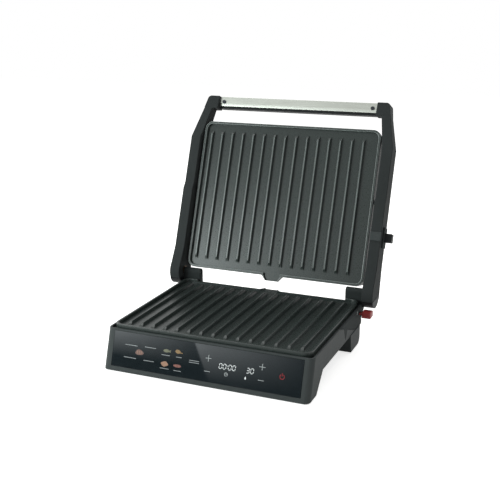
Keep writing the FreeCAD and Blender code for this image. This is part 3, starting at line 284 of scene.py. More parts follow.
# Moulded polyamide, black and satin, for the lead's gland.
GLAND_RESIN = Finish("moulded_polyamide_black", "#18191A", roughness=0.45, grain_mm=0.7)
# Moulded silicone rubber: matt black.
RUBBER = Finish("silicone_rubber_black", "#161616", roughness=0.75, ior=1.42, grain_mm=0.6,
                grain_depth_mm=0.03)
# Moulded polycarbonate, red all through, with a satin skin.
RED_RESIN = Finish("moulded_polycarbonate_red", "#94302F", roughness=0.38, ior=1.58, grain_mm=0.6)
# White light through printed masks in the glass: the brightest marks on the panel.
LIT_WHITE = Finish("backlit_mask_white", "#C4C8C8", roughness=0.3, grain_mm=3.0, drift=0.02, glow=0.6)
# The same light, dimmed, behind thin strokes. The tower's printed arrow is as pale and shares it, so it
# glows as well: a painted glow, with no light behind it.
PRINT_WHITE = replace(LIT_WHITE, name="dim_white_backlit_mask_and_painted_glow", colour="#919696", glow=0.5)
# Red light behind the power mark, dimmer than the white.
LIT_RED = replace(LIT_WHITE, name="backlit_mask_red", colour="#7C0F16", glow=0.3)
# Screen-printed grey ink, faintly lit from behind: dimmer than the lit marks.
PRINT_GREY = Finish("screen_printed_ink_grey", "#6A6E6F", roughness=0.4, grain_mm=0.5, glow=0.35)
# Screen-printed coloured inks of the programme signs: satin and uneven in tone, with a faint painted glow
# that lightens them.
INK_BROWN = Finish("screen_printed_ink_brown", "#573427", roughness=0.4, drift=0.25, glow=0.05)
INK_TAN = replace(INK_BROWN, name="screen_printed_ink_tan", colour="#886045")
INK_GOLD = replace(INK_BROWN, name="screen_printed_ink_gold", colour="#785922")
INK_OLIVE = replace(INK_BROWN, name="screen_printed_ink_olive", colour="#55563A")
INK_RUST = replace(INK_BROWN, name="screen_printed_ink_rust", colour="#703325")

NODES_BY_FINISH: dict[Finish, tuple[str, ...]] = {
    NONSTICK: ("lower_plate", "upper_plate"),
    CASING: ("base_housing", "upper_housing"),
    ARM_RESIN: ("arm_right", "arm_left", "lock_guide"),
    TOWER_RESIN: ("hinge_tower_right", "hinge_tower_left"),
    GRIP_RESIN: ("handle_grip", "lock_button", "hinge_cap_right", "hinge_cap_left", "drip_tray",
                 "display_module"),
    PANEL_GLASS: ("touch_glass",),
    STRIP_METAL: ("handle_strip",),
    SHEET_METAL: ("upper_reflector",),
    LID_STEEL: ("lid_cover_plate",),
    ZINC: ("cover_screws", "lower_reflector", "lower_sensor", "upper_sensor", "tray_rail_right",
           "tray_rail_left", "hinge_pin_right", "hinge_pin_left", "pivot_pin_right", "pivot_pin_left"),
    BLACK_OXIDE: ("handle_screws",),
    POWDER: ("belly_cover", "base_frame"),
    SHEATH: ("lower_heating_element", "upper_heating_element"),
    BRONZE: ("hinge_bush_right", "hinge_bush_left"),
    BOARD: ("touch_board", "power_board"),
    POLYAMIDE: ("terminal_block",),
    GLAND_RESIN: ("cord_gland",),
    RUBBER: ("foot_pads",),
    RED_RESIN: ("release_button",),
}
NODE_FINISHES = {node: finish for finish, nodes in NODES_BY_FINISH.items() for node in nodes}


@dataclass
class Wardrobe:
    """Keeps one material for each finish and dresses objects in it."""

    made: dict[str, bpy.types.Material] = field(default_factory=dict)

    def dress(self, piece: bpy.types.Object, *finishes: Finish) -> None:
        """Gives a piece its finishes.

        Args:
            piece: object whose material slots are replaced.
            finishes: the finishes that it gets, in the order of its faces' slots.
        """
        slots = [polygon.material_index for polygon in piece.data.polygons]
        piece.data.materials.clear()
        for finish in finishes:
            if finish.name not in self.made:
                self.made[finish.name] = finish.build()
            piece.data.materials.append(self.made[finish.name])
        for polygon, slot in zip(piece.data.polygons, slots):
            polygon.material_index = min(slot, len(finishes) - 1)

    def dress_frame(self, nodes: dict[str, bpy.types.Object]) -> None:
        """Dresses every piece of the frame.

        Args:
            nodes: the frame's objects by node.
        """
        for name, piece in nodes.items():
            self.dress(piece, NODE_FINISHES[name])
            LOG.info("%s: %s", name, NODE_FINISHES[name].name)


def shifted(point: Point, right: float, down: float) -> Point:
    """Moves a place to the right and down."""
    return (point[0] + right, point[1] + down)


def on_ellipse(middle: Point, across: float, along: float, turn: float) -> Point:
    """Finds the place on an ellipse, given by its half widths, at an angle in radians."""
    return shifted(middle, across * math.cos(turn), along * math.sin(turn))


def ellipse(middle: Point, width: float, height: float, sides: int = 24) -> Outline:
    """Draws an ellipse as an outline."""
    turns = [math.tau * index / sides for index in range(sides)]
    return [on_ellipse(middle, width / 2, height / 2, turn) for turn in turns]


def bar(middle: Point, width: float, height: float) -> Outline:
    """Draws a rectangle as an outline."""
    signs = ((-1, -1), (1, -1), (1, 1), (-1, 1))
    return [shifted(middle, right * width / 2, down * height / 2) for right, down in signs]


def ring_sector(
    middle: Point, outer: float, inner: float, start: float, sweep: float, sides: int = 28
) -> Outline:
    """Draws part of a ring as one outline.

    Args:
        middle: centre of the ring.
        outer: outer radius.
        inner: inner radius.
        start: angle where the ring starts, in degrees, clockwise from the right.
        sweep: angle that it covers, in degrees.
        sides: number of straight steps along it.

    Returns:
        The outline's points.
    """
    turns = [math.radians(start + sweep * index / sides) for index in range(sides + 1)]
    outside = [on_ellipse(middle, outer, outer, turn) for turn in turns]
    inside = [on_ellipse(middle, inner, inner, turn) for turn in reversed(turns)]
    return outside + inside


def lobed(
    middle: Point, width: float, height: float, lobes: int, depth: float,
    first: float = 0.7, sides: int = 32,
) -> Outline:
    """Draws an ellipse whose edge swells and dips a few times.

    Args:
        middle: its centre.
        width: width of the plain ellipse.
        height: height of the plain ellipse.
        lobes: number of swellings.
        depth: height of a swelling, as a share of the radius.
        first: phase of the first swelling, in radians.
        sides: number of straight steps around it.

    Returns:
        The outline's points.
    """
    outline = []
    for turn in (math.tau * index / sides for index in range(sides)):
        swell = 1 + depth * math.sin(lobes * turn + first)
        outline.append(on_ellipse(middle, width / 2 * swell, height / 2 * swell, turn))
    return outline


def add_film(mesh: bmesh.types.BMesh, lower: list[Vector], upper: list[Vector]) -> None:
    """Adds a thin closed film to a mesh.

    Args:
        mesh: the mesh that gets it.
        lower: the film's outline on the face that carries it.
        upper: the same outline on the film's outer face.
    """
    below = [mesh.verts.new(point) for point in lower]
    above = [mesh.verts.new(point) for point in upper]
    mesh.faces.new(below)
    mesh.faces.new(above)
    for index in range(len(below)):
        after = (index + 1) % len(below)
        mesh.faces.new((below[index], below[after], above[after], above[index]))
    bmesh.ops.recalc_face_normals(mesh, faces=mesh.faces)


def put_piece(name: str, mesh: bmesh.types.BMesh, body: str) -> bpy.types.Object:
    """Turns a mesh into a piece that rides on a body.

    Args:
        name: the piece's name.
        mesh: its mesh, which is freed.
        body: the body that carries it.

    Returns:
        The new object.
    """
    data = bpy.data.meshes.new(name)
    mesh.to_mesh(data)
    mesh.free()
    piece = bpy.data.objects.new(name, data)
    bpy.context.scene.collection.objects.link(piece)
    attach(piece, body)
    LOG.info("%s: %d faces", name, len(data.polygons))
    return piece


@dataclass(frozen=True)
class Moulding:
    """A moulded or cast piece whose sharp edges get the small radius that its mould gives them.

    With a facing, only the edges in the outermost plane that way are rounded, such as a plate's rim. A piece
    whose shortest edges would hold back the radius of a whole run isn't clamped.
    """

    node: str
    radius_mm: float
    facing: Place | None = None
    clamped: bool = True
    more_finishes: tuple[Finish, ...] = ()
    weld_mm: float = 0.002
    level_degrees: float = 0.6
    sharp_degrees: float = 38.0
    shortest_run_mm: float = 12.0
    room_share: float = 1.3
    round_steps: int = 3
    round_profile: float = 0.5

    def shape(self, mesh: bmesh.types.BMesh) -> None:
        """Changes the piece's form before its edges are rounded; most keep theirs."""

    def mark_faces(self, mesh: bmesh.types.BMesh) -> None:
        """Gives faces to a second finish; most pieces have one finish."""

    def pick_edges(self, mesh: bmesh.types.BMesh) -> set[bmesh.types.BMEdge]:
        """Chooses the outer edges that have room for the radius.

        Args:
            mesh: the piece's mesh, with its flat faces whole.

        Returns:
            The edges to round.
        """
        sharp = math.radians(self.sharp_degrees)
        picked = {edge for edge in mesh.edges
                  if len(edge.link_faces) == 2 and edge.is_convex and edge.calc_face_angle(0) > sharp}
        if self.facing:
            way = Vector(self.facing).normalized()
            outermost = max(corner.co.dot(way) for corner in mesh.verts)
            rim = {corner for corner in mesh.verts if outermost - corner.co.dot(way) < SAME_PLANE}
            return {edge for edge in picked if rim.issuperset(edge.verts)}
        room = self.room_share * self.radius_mm * MM
        while True:
            tight = {edge for edge in picked
                     if any(near not in picked and near.calc_length() < room
                            for end in edge.verts for near in end.link_edges)}
            if not tight:
                return picked
            picked -= tight

    @staticmethod
    def join_runs(edges: set[bmesh.types.BMEdge]) -> list[list[bmesh.types.BMEdge]]:
        """Sorts edges into runs that hang together.

        Args:
            edges: the edges to sort.

        Returns:
            One list of edges for each run, the same each time.
        """
        left = dict.fromkeys(sorted(edges, key=lambda edge: edge.index))
        runs = []
        while left:
            run = [left.popitem()[0]]
            for edge in run:
                for near in [near for end in edge.verts for near in end.link_edges if near in left]:
                    del left[near]
                    run.append(near)
            runs.append(run)
        return runs

    def build(self, frame: dict, wardrobe: Wardrobe) -> None:
        """Makes the rounded piece and puts it in the node's place.

        Args:
            frame: the loaded frame.
            wardrobe: gives the finish.
        """
        mesh = bmesh.new()
        mesh.from_mesh(frame["nodes"][self.node].data)
        bmesh.ops.remove_doubles(mesh, verts=mesh.verts, dist=self.weld_mm * MM)
        level = math.radians(self.level_degrees)
        bmesh.ops.dissolve_limit(mesh, angle_limit=level, verts=mesh.verts, edges=mesh.edges)
        self.shape(mesh)
        for run in self.join_runs(self.pick_edges(mesh)):
            if sum(edge.calc_length() for edge in run) > self.shortest_run_mm * MM:
                bmesh.ops.bevel(mesh, geom=run, offset=self.radius_mm * MM, offset_type="OFFSET",
                                segments=self.round_steps, profile=self.round_profile, affect="EDGES",
                                clamp_overlap=self.clamped)
        for face in mesh.faces:
            face.smooth = True
        for edge in mesh.edges:
            edge.smooth = edge.calc_face_angle(0) < math.radians(self.sharp_degrees)
        self.mark_faces(mesh)
        bodies = frame["record"]["behaviour"]["bodies"]
        body = next(body for body, nodes in bodies.items() if self.node in nodes)
        piece = put_piece(f"rounded_{self.node}", mesh, body)
        piece.modifiers.new("even_shading", "WEIGHTED_NORMAL").keep_sharp = True
        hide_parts(self.node)
        wardrobe.dress(piece, NODE_FINISHES[self.node], *self.more_finishes)


@dataclass(frozen=True)
class RibbedPlate(Moulding):
    """A cooking plate with a rounded rim, whose crests and rim edges may carry a painted highlight as a
    finish of their own.

    A face is flat or steep by the cosine of its angle to the plate. The crests lie a little below the rim.
    """

    crest_from_mm: float = 0.2
    crest_to_mm: float = 2.0
    rim_side_mm: float = 9.0
    rim_end_mm: float = 22.0
    flat: float = 0.97
    steep: float = 0.25

    def mark_faces(self, mesh: bmesh.types.BMesh) -> None:
        """Gives the flat crests of the ribs and the rounded edges of the rim the second finish, a painted
        highlight.

        Args:
            mesh: the plate's mesh.
        """
        way = Vector(self.facing).normalized()
        along = way.cross(RIGHT)
        highest = max(corner.co.dot(way) for corner in mesh.verts)
        side = max(corner.co.x for corner in mesh.verts) - self.rim_side_mm * MM
        lengths = [corner.co.dot(along) for corner in mesh.verts]
        low, high = min(lengths) + self.rim_end_mm * MM, max(lengths) - self.rim_end_mm * MM
        for face in mesh.faces:
            middle = face.calc_center_median()
            below = (highest - middle.dot(way)) / MM
            slope = face.normal.dot(way)
            by_side = abs(middle.x) > side
            by_end = not low < middle.dot(along) < high
            # Both masks pick faces for the painted highlight: the ribs' crests, and the rim's rounded edges.
            crest_highlight = not by_side and self.crest_from_mm < below < self.crest_to_mm and slope > self.flat
            rounded = below < self.radius_mm and self.steep < slope < self.flat
            if crest_highlight or (rounded and (by_side or by_end)):
                face.material_index = 1


@dataclass(frozen=True)
class RolledStrip(Moulding):
    """The handle's metal strip, whose lower third leans back a little, as a rolled edge does.

    Its lower edge ends short of the solid's, so that the grip shows below it.
    """

    lower_share: float = 0.34
    lean_mm: float = 0.55
    short_mm: float = 1.6

    def shape(self, mesh: bmesh.types.BMesh) -> None:
        """Folds the front face along a line, leans its lower part back and raises its lower edge.

        Args:
            mesh: the strip's mesh.
        """
        front = Vector(self.facing).normalized()
        up = front.cross(RIGHT)
        heights = [corner.co.dot(up) for corner in mesh.verts]
        low, high = min(heights), max(heights)
        fold = low + self.lower_share * (high - low)
        bmesh.ops.bisect_plane(mesh, geom=[*mesh.verts, *mesh.edges, *mesh.faces],
                               plane_co=up * fold, plane_no=up)
        outermost = max(corner.co.dot(front) for corner in mesh.verts)
        for corner in mesh.verts:
            if outermost - corner.co.dot(front) < SAME_PLANE and corner.co.dot(up) < fold:
                corner.co -= front * self.lean_mm * MM * (fold - corner.co.dot(up)) / (fold - low)
        for corner in mesh.verts:
            if corner.co.dot(up) - low < SAME_PLANE:
                corner.co += up * self.short_mm * MM


MOULDINGS = (
    RibbedPlate("upper_plate", radius_mm=1.2, facing=FORWARD, more_finishes=(CREST_HIGHLIGHT,)),
    RibbedPlate("lower_plate", radius_mm=1.2, facing=UP),
    Moulding("base_housing", radius_mm=0.7),
    Moulding("hinge_tower_right", radius_mm=1.1),
    Moulding("hinge_tower_left", radius_mm=1.1),
    Moulding("arm_right", radius_mm=1.2, clamped=False),
    Moulding("arm_left", radius_mm=1.2, clamped=False),
    Moulding("handle_grip", radius_mm=1.0),
    RolledStrip("handle_strip", radius_mm=0.3, facing=FORWARD),
    Moulding("lock_guide", radius_mm=0.6),
    Moulding("lock_button", radius_mm=0.6),
    Moulding("release_button", radius_mm=0.5),
    Moulding("upper_housing", radius_mm=0.8),
    Moulding("belly_cover", radius_mm=0.5),
    Moulding("drip_tray", radius_mm=0.6),
)


@dataclass(frozen=True)
class SevenSegments:
    """Seven-segment figures in millimetres, with pointed segments that lean to the right."""

    wide: float = 3.9
    tall: float = 6.6
    stroke: float = 0.75
    gap_share: float = 0.6
    slant_share: float = 0.12

    def segment(self, start: Point, length: float, upright: bool) -> Outline:
        """Draws one segment.

        Args:
            start: its left or upper tip.
            length: distance between its tips.
            upright: whether it runs down instead of to the right.

        Returns:
            Its outline, before the figure leans.
        """
        half = self.stroke / 2
        along = (0, half, length - half, length, length - half, half)
        aside = (0, -half, -half, 0, half, half)
        if upright:
            return [shifted(start, -side, step) for step, side in zip(along, aside)]
        return [shifted(start, step, side) for step, side in zip(along, aside)]

    def draw(self, corner: Point, figure: str) -> list[Outline]:
        """Draws one figure.

        Args:
            corner: its top left corner.
            figure: the figure, 0 or 3.

        Returns:
            One outline for each lit segment.
        """
        half = self.tall / 2
        gap = self.gap_share * self.stroke
        flat = {"a": (gap, 0), "g": (gap, half), "d": (gap, self.tall)}
        upright = {"f": (0, gap), "b": (self.wide, gap), "e": (0, half + gap), "c": (self.wide, half + gap)}
        outlines = []
        for name in {"0": "abcdef", "3": "abcdg"}[figure]:
            if name in flat:
                outline = self.segment(flat[name], self.wide - 2 * gap, upright=False)
            else:
                outline = self.segment(upright[name], half - 2 * gap, upright=True)
            outlines.append([shifted(corner, across + self.slant_share * (self.tall - down), down)
                             for across, down in outline])
        return outlines


@dataclass
class TouchPanel:
    """The raked glass panel and what is printed and lit on it.

    Places are millimetres to the right of the grill's middle and down the glass from its top edge. A figure
    is given by its left edge, and a label by its middle and its width.
    """

    film_mm: float = 0.12
    segments: SevenSegments = SevenSegments()
    figure_row: float = 21.8
    figures: tuple[tuple[float, str], ...] = (
        (22.6, "0"), (28.4, "0"), (36.2, "0"), (42.0, "0"), (61.9, "3"), (67.7, "0"),
    )
    colon: tuple[Point, ...] = ((34.7, 23.8), (34.5, 26.4))
    colon_dot: float = 0.8
    key_columns: Point = (6.4, 83.6)
    plus_row: float = 17.5
    plus_size: float = 8.6
    minus_row: float = 35.1
    minus_size: float = 8.4
    key_line: float = 0.6
    timer: Point = (34.0, 34.9)
    timer_hand: float = 0.5
    heat: Point = (61.7, 35.1)
    heat_half: Point = (1.45, 2.2)
    heat_point: float = 1.5
    heat_sides: int = 20
    power: Point = (111.9, 25.8)
    labels: tuple[tuple[Point, float], ...] = (
        ((-111.1, 17.0), 19.0), ((-81.4, 16.3), 17.0), ((-111.4, 34.3), 19.0), ((-82.0, 34.7), 16.0),
        ((-57.2, 22.9), 12.5), ((-37.2, 22.9), 8.5), ((-57.1, 41.0), 13.5), ((-37.3, 41.4), 11.5),
        ((-14.0, 24.2), 15.0), ((-14.0, 26.8), 15.0),
    )
    label_tall: float = 0.9
    steak: Point = (-97.6, 25.1)
    fish: Point = (-56.8, 16.9)
    leg: Point = (-37.6, 16.2)
    bird: Point = (-57.4, 34.9)
    link: Point = (-38.2, 34.7)
    origin: Vector = field(default_factory=Vector)
    down: Vector = field(default_factory=Vector)
    outward: Vector = field(default_factory=Vector)

    def find_face(self, glass: bpy.types.Object) -> None:
        """Takes the place and slope of the glass's front face from its mesh.

        Args:
            glass: the glass piece.
        """
        front = min(glass.data.polygons, key=lambda face: face.normal.y)
        corners = [glass.data.vertices[index].co for index in front.vertices]
        top = max(corners, key=lambda corner: corner.z)
        self.outward = front.normal.copy()
        self.down = RIGHT.cross(self.outward).normalized()
        if self.down.z > 0:
            self.down.negate()
        self.origin = Vector((0, top.y, top.z))

    def place(self, point: Point, height: float) -> Vector:
        """Turns a place on the panel into a point in space."""
        right, down = point
        return self.origin + RIGHT * right * MM + self.down * down * MM + self.outward * height * MM

    def print_piece(self, name: str, outlines: list[Outline], layer: int) -> bpy.types.Object:
        """Makes one thin piece from flat outlines.

        Args:
            name: the piece's name.
            outlines: closed outlines in panel places.
            layer: how many films lie under it.

        Returns:
            The new object, on the base.
        """
        mesh = bmesh.new()
        low, high = layer * self.film_mm, (layer + 1) * self.film_mm
        for outline in outlines:
            lower = [self.place(point, low) for point in outline]
            upper = [self.place(point, high) for point in outline]
            add_film(mesh, lower, upper)
        return put_piece(name, mesh, "base")

    def draw_figures(self) -> list[Outline]:
        """Draws the lit time and heat.

        Returns:
            Outlines of the figures' segments and the colon.
        """
        outlines = []
        for left, figure in self.figures:
            outlines += self.segments.draw((left, self.figure_row), figure)
        return outlines + [bar(dot, self.colon_dot, self.colon_dot) for dot in self.colon]

    def draw_keys(self) -> list[Outline]:
        """Draws the plus and minus keys.

        Returns:
            Outlines of their strokes.
        """
        outlines = []
        for column in self.key_columns:
            plus, minus = (column, self.plus_row), (column, self.minus_row)
            outlines += [bar(plus, self.plus_size, self.key_line), bar(plus, self.key_line, self.plus_size),
                         bar(minus, self.minus_size, self.key_line)]
        return outlines

    def draw_timer(self) -> list[Outline]:
        """Draws a clock face with two hands.

        Returns:
            Outlines of the face and the hands.
        """
        face = ring_sector(self.timer, outer=2.5, inner=1.95, start=0, sweep=360)
        upper_hand = bar(shifted(self.timer, right=0, down=-0.8), width=self.timer_hand, height=1.7)
        right_hand = bar(shifted(self.timer, right=0.8, down=0), width=1.6, height=self.timer_hand)
        return [face, upper_hand, right_hand]

    def draw_heat(self) -> list[Outline]:
        """Draws a drop that is round below and pointed above.

        Returns:
            Its outline.
        """
        half_wide, half_tall = self.heat_half
        turns = [math.tau * index / self.heat_sides for index in range(self.heat_sides)]
        return [[shifted(self.heat, half_wide * math.sin(turn) * math.sin(turn / 2) ** self.heat_point,
                         -half_tall * math.cos(turn)) for turn in turns]]

    def draw_power(self) -> list[Outline]:
        """Draws the power mark: an open ring and a stroke in its gap.

        Returns:
            Outlines of the ring and the stroke.
        """
        ring = ring_sector(self.power, outer=3.5, inner=2.6, start=-60, sweep=300)
        return [ring, bar(shifted(self.power, right=0, down=-2.7), width=0.9, height=4.0)]

    def draw_fish(self) -> list[Outline]:
        """Draws the fish sign.

        Returns:
            Outlines of the body and the tail.
        """
        tail_root, tail_end, tail_half = 3.6, 6.4, 2.4
        tail = [shifted(self.fish, tail_root, 0), shifted(self.fish, tail_end, -tail_half),
                shifted(self.fish, tail_end, tail_half)]
        return [ellipse(self.fish, width=9.0, height=4.4), tail]

    def draw_leg(self) -> list[Outline]:
        """Draws the drumstick sign.

        Returns:
            Outlines of the thick end and the bone.
        """
        thick_end = shifted(self.leg, right=-1.6, down=-0.6)
        bone = shifted(self.leg, right=3.6, down=0.6)
        return [lobed(thick_end, width=7.4, height=5.6, lobes=2, depth=0.1),
                bar(bone, width=4.0, height=1.2)]

    def signs(self) -> dict[str, tuple[Finish, list[Outline], int]]:
        """Draws everything on the panel.

        Returns:
            Finish, outlines and layer of each piece, by the piece's name.
        """
        steak = lobed(self.steak, width=12.5, height=7.4, lobes=3, depth=0.09)
        steak_marks = [bar(shifted(self.steak, step, 0), width=0.6, height=4.4) for step in (-3, 0, 3)]
        bird = lobed(self.bird, width=10.6, height=6.8, lobes=4, depth=0.08)
        link = ellipse(self.link, width=11.6, height=4.0)
        link_marks = [bar(shifted(self.link, step, 0), width=0.5, height=2.4) for step in (-2.6, 0, 2.6)]
        label_bars = [bar(middle, wide, self.label_tall) for middle, wide in self.labels]
        return {
            "panel_figures": (LIT_WHITE, self.draw_figures(), 0),
            "panel_keys": (PRINT_WHITE, self.draw_keys(), 0),
            "panel_timer_sign": (PRINT_WHITE, self.draw_timer(), 0),
            "panel_heat_sign": (LIT_WHITE, self.draw_heat(), 0),
            "panel_power_sign": (LIT_RED, self.draw_power(), 0),
            "panel_label_bars": (PRINT_GREY, label_bars, 0),
            "sign_steak": (INK_BROWN, [steak], 0),
            "sign_steak_marks": (INK_TAN, steak_marks, 1),
            "sign_fish": (INK_OLIVE, self.draw_fish(), 0),
            "sign_leg": (INK_GOLD, self.draw_leg(), 0),
            "sign_bird": (INK_TAN, [bird], 0),
            "sign_link": (INK_RUST, [link], 0),
            "sign_link_marks": (INK_TAN, link_marks, 1),
        }

    def build(self, glass: bpy.types.Object, wardrobe: Wardrobe) -> None:
        """Makes and dresses everything on the panel.

        Args:
            glass: the glass piece that carries it.
            wardrobe: gives the finishes.
        """
        self.find_face(glass)
        for name, (finish, outlines, layer) in self.signs().items():
            wardrobe.dress(self.print_piece(name, outlines, layer), finish)


@dataclass(frozen=True)
class TowerMark:
    """The pale pad-printed arrow on the right tower's outer side, which points to the release button. Its
    finish glows: a painted glow on the print.

    Its middle is millimetres to the rear and up from the frame's origin.
    """

    middle: Point = (88.0, 51.5)
    reach_mm: float = 2.6
    rise_mm: float = 2.8
    stroke_mm: float = 1.3
    film_mm: float = 0.1

    def build(self, frame: dict, wardrobe: Wardrobe) -> None:
        """Makes the mark on the tower's outermost face.

        Args:
            frame: the loaded frame.
            wardrobe: gives the finish.
        """
        tower = frame["nodes"]["hinge_tower_right"]
        outer = max(corner.co.x for corner in tower.data.vertices)
        along, height = self.middle
        tip, tail = along + self.reach_mm / 2, along - self.reach_mm / 2
        outline = [(tail, height + self.rise_mm), (tail + self.stroke_mm, height + self.rise_mm),
                   (tip + self.stroke_mm, height), (tail + self.stroke_mm, height - self.rise_mm),
                   (tail, height - self.rise_mm), (tip, height)]
        lower, upper = ([Vector((outer + lift * MM, rear * MM, up * MM)) for rear, up in outline]
                        for lift in (0.0, self.film_mm))
        mesh = bmesh.new()
        add_film(mesh, lower, upper)
        # The arrow's dim white glow is painted light; nothing lights the tower from inside.
        wardrobe.dress(put_piece("release_arrow", mesh, "base"), PRINT_WHITE)


@dataclass(frozen=True)
class LockBar:
    """The raised bar across the right arm's front face, in line with the slide lock."""

    proud_mm: float = 1.4
    sunk_mm: float = 2.0
    edge_mm: float = 0.6
    edge_steps: int = 2
    edge_profile: float = 0.5
    flat: float = 0.99

    def find_face(self, arm: bpy.types.Mesh, front: Vector, up: Vector, height: float) -> list[Vector]:
        """Finds the arm's foremost front face at a height.

        Args:
            arm: the arm's mesh.
            front: the way the arm faces.
            up: the way up along the arm.
            height: distance up along the arm.

        Returns:
            The face's corners.
        """
        faces = []
        for polygon in arm.polygons:
            corners = [arm.vertices[index].co for index in polygon.vertices]
            heights = [corner.dot(up) for corner in corners]
            if polygon.normal.dot(front) > self.flat and min(heights) < height < max(heights):
                faces.append(corners)
        return max(faces, key=lambda face: max(corner.dot(front) for corner in face))

    def build(self, frame: dict, wardrobe: Wardrobe) -> None:
        """Makes the bar as wide as the arm and as tall as the lock's button.

        Args:
            frame: the loaded frame.
            wardrobe: gives the finish.
        """
        front = Vector(FORWARD).normalized()
        up = front.cross(RIGHT)
        heights = [corner.co.dot(up) for corner in frame["nodes"]["lock_button"].data.vertices]
        low, high = min(heights), max(heights)
        middle = (low + high) / 2
        corners = self.find_face(frame["nodes"]["arm_right"].data, front, up, middle)
        left, right = min(corner.x for corner in corners), max(corner.x for corner in corners)
        inner = min(corner.dot(front) for corner in corners) - self.sunk_mm * MM
        outer = max(corner.dot(front) for corner in corners) + self.proud_mm * MM
        centre = RIGHT * (left + right) / 2 + front * (inner + outer) / 2 + up * middle
        turn = Matrix((RIGHT, -front, up)).transposed().to_4x4()
        size = Matrix.Diagonal((right - left, outer - inner, high - low, 1))
        mesh = bmesh.new()
        bmesh.ops.create_cube(mesh, size=1.0, matrix=Matrix.Translation(centre) @ turn @ size)
        bmesh.ops.bevel(mesh, geom=mesh.edges, offset=self.edge_mm * MM, segments=self.edge_steps,
                        profile=self.edge_profile, affect="EDGES")
        wardrobe.dress(put_piece("lock_bar", mesh, "lid_arms"), CASING)


@dataclass(frozen=True)
class Lamp:
    """One soft box, aimed at a point, in metres."""

    name: str
    place: Place
    aim: Place
    wide: float
    tall: float
    watts: float
    colour: str = WHITE

    def build(self) -> None:
        """Hangs the lamp."""
        light = bpy.data.lights.new(self.name, "AREA")
        light.shape = "RECTANGLE"
        light.size = self.wide
        light.size_y = self.tall
        light.energy = self.watts
        light.color = linear(self.colour)[:3]
        lamp = bpy.data.objects.new(self.name, light)
        lamp.location = self.place
        lamp.rotation_euler = (Vector(self.aim) - Vector(self.place)).to_track_quat("-Z", "Y").to_euler()
        bpy.context.scene.collection.objects.link(lamp)


def put_sheet(name: str, corners: list[Place], material: bpy.types.Material) -> bpy.types.Object:
    """Makes a flat sheet with four corners for the studio.

    Args:
        name: the sheet's name.
        corners: its corners in order.
        material: what it is made of.

    Returns:
        The new object.
    """
    data = bpy.data.meshes.new(name)
    data.from_pydata(corners, [], [(0, 1, 2, 3)])
    data.materials.append(material)
    sheet = bpy.data.objects.new(name, data)
    bpy.context.scene.collection.objects.link(sheet)
    return sheet


@dataclass(frozen=True)
class GradedCard:
    """A dark card that only reflections show, with two graded patches as a studio screen has.

    The first patch has a sharp leaning edge, and the second fills the upper left corner. A patch grows from
    dark to bright over each of its spans, in metres to the right of the grill's middle or up from the floor.
    """

    y: float = -0.7
    low: Point = (-0.5, 0.096)
    high: Point = (0.03, 0.215)
    colour: str = "#F2F8FA"
    edge_lean: float = 0.6847
    edge_span: Point = (-0.1671, -0.1656)
    patch_across: Point = (-0.02, -0.29)
    patch_height: Point = (0.098, 0.168)
    patch_level: float = 2.5
    corner_across: Point = (-0.25, -0.47)
    corner_height: Point = (0.122, 0.178)
    corner_level: float = 2.9

    def paint(self) -> bpy.types.Material:
        """Makes the card's graded light.

        Returns:
            The card's material.
        """
        material = new_material("graded_card_paper")
        tree = material.node_tree
        place = add_node(tree, "SeparateXYZ", links={0: add_node(tree, "TexCoord").outputs["Object"]})
        across, height = place.outputs["X"], place.outputs["Z"]
        leaning = add_node(tree, "Math", {
            "operation": "MULTIPLY_ADD",
            1: self.edge_lean,
        }, {0: height, 2: across}).outputs[0]
        spans = ((leaning, self.edge_span), (across, self.patch_across), (height, self.patch_height),
                 (across, self.corner_across), (height, self.corner_height))
        edge, patch_side, patch_rise, corner_side, corner_rise = [
            add_node(tree, "MapRange", {"From Min": dark, "From Max": bright}, {"Value": value}).outputs[0]
            for value, (dark, bright) in spans
        ]
        patch = add_node(tree, "Math", {"operation": "MULTIPLY"}, {0: patch_side, 1: patch_rise})
        cut = add_node(tree, "Math", {"operation": "MULTIPLY"}, {0: edge, 1: patch.outputs[0]})
        lit = add_node(tree, "Math", {"operation": "MULTIPLY", 1: self.patch_level}, {0: cut.outputs[0]})
        corner = add_node(tree, "Math", {"operation": "MULTIPLY"}, {0: corner_side, 1: corner_rise})
        both = add_node(tree, "Math", {"operation": "MULTIPLY_ADD", 1: self.corner_level},
                        {0: corner.outputs[0], 2: lit.outputs[0]})
        shine = add_node(tree, "Emission", {"Color": linear(self.colour)}, {"Strength": both.outputs[0]})
        add_node(tree, "OutputMaterial", links={"Surface": shine.outputs[0]})
        return material

    def build(self) -> None:
        """Hangs the card in front of the grill."""
        (left, low), (right, high) = self.low, self.high
        corners = [(left, self.y, low), (right, self.y, low), (right, self.y, high), (left, self.y, high)]
        card = put_sheet("graded_card", corners, self.paint())
        for kind in ("camera", "diffuse", "shadow", "transmission", "volume_scatter"):
            setattr(card, f"visible_{kind}", False)


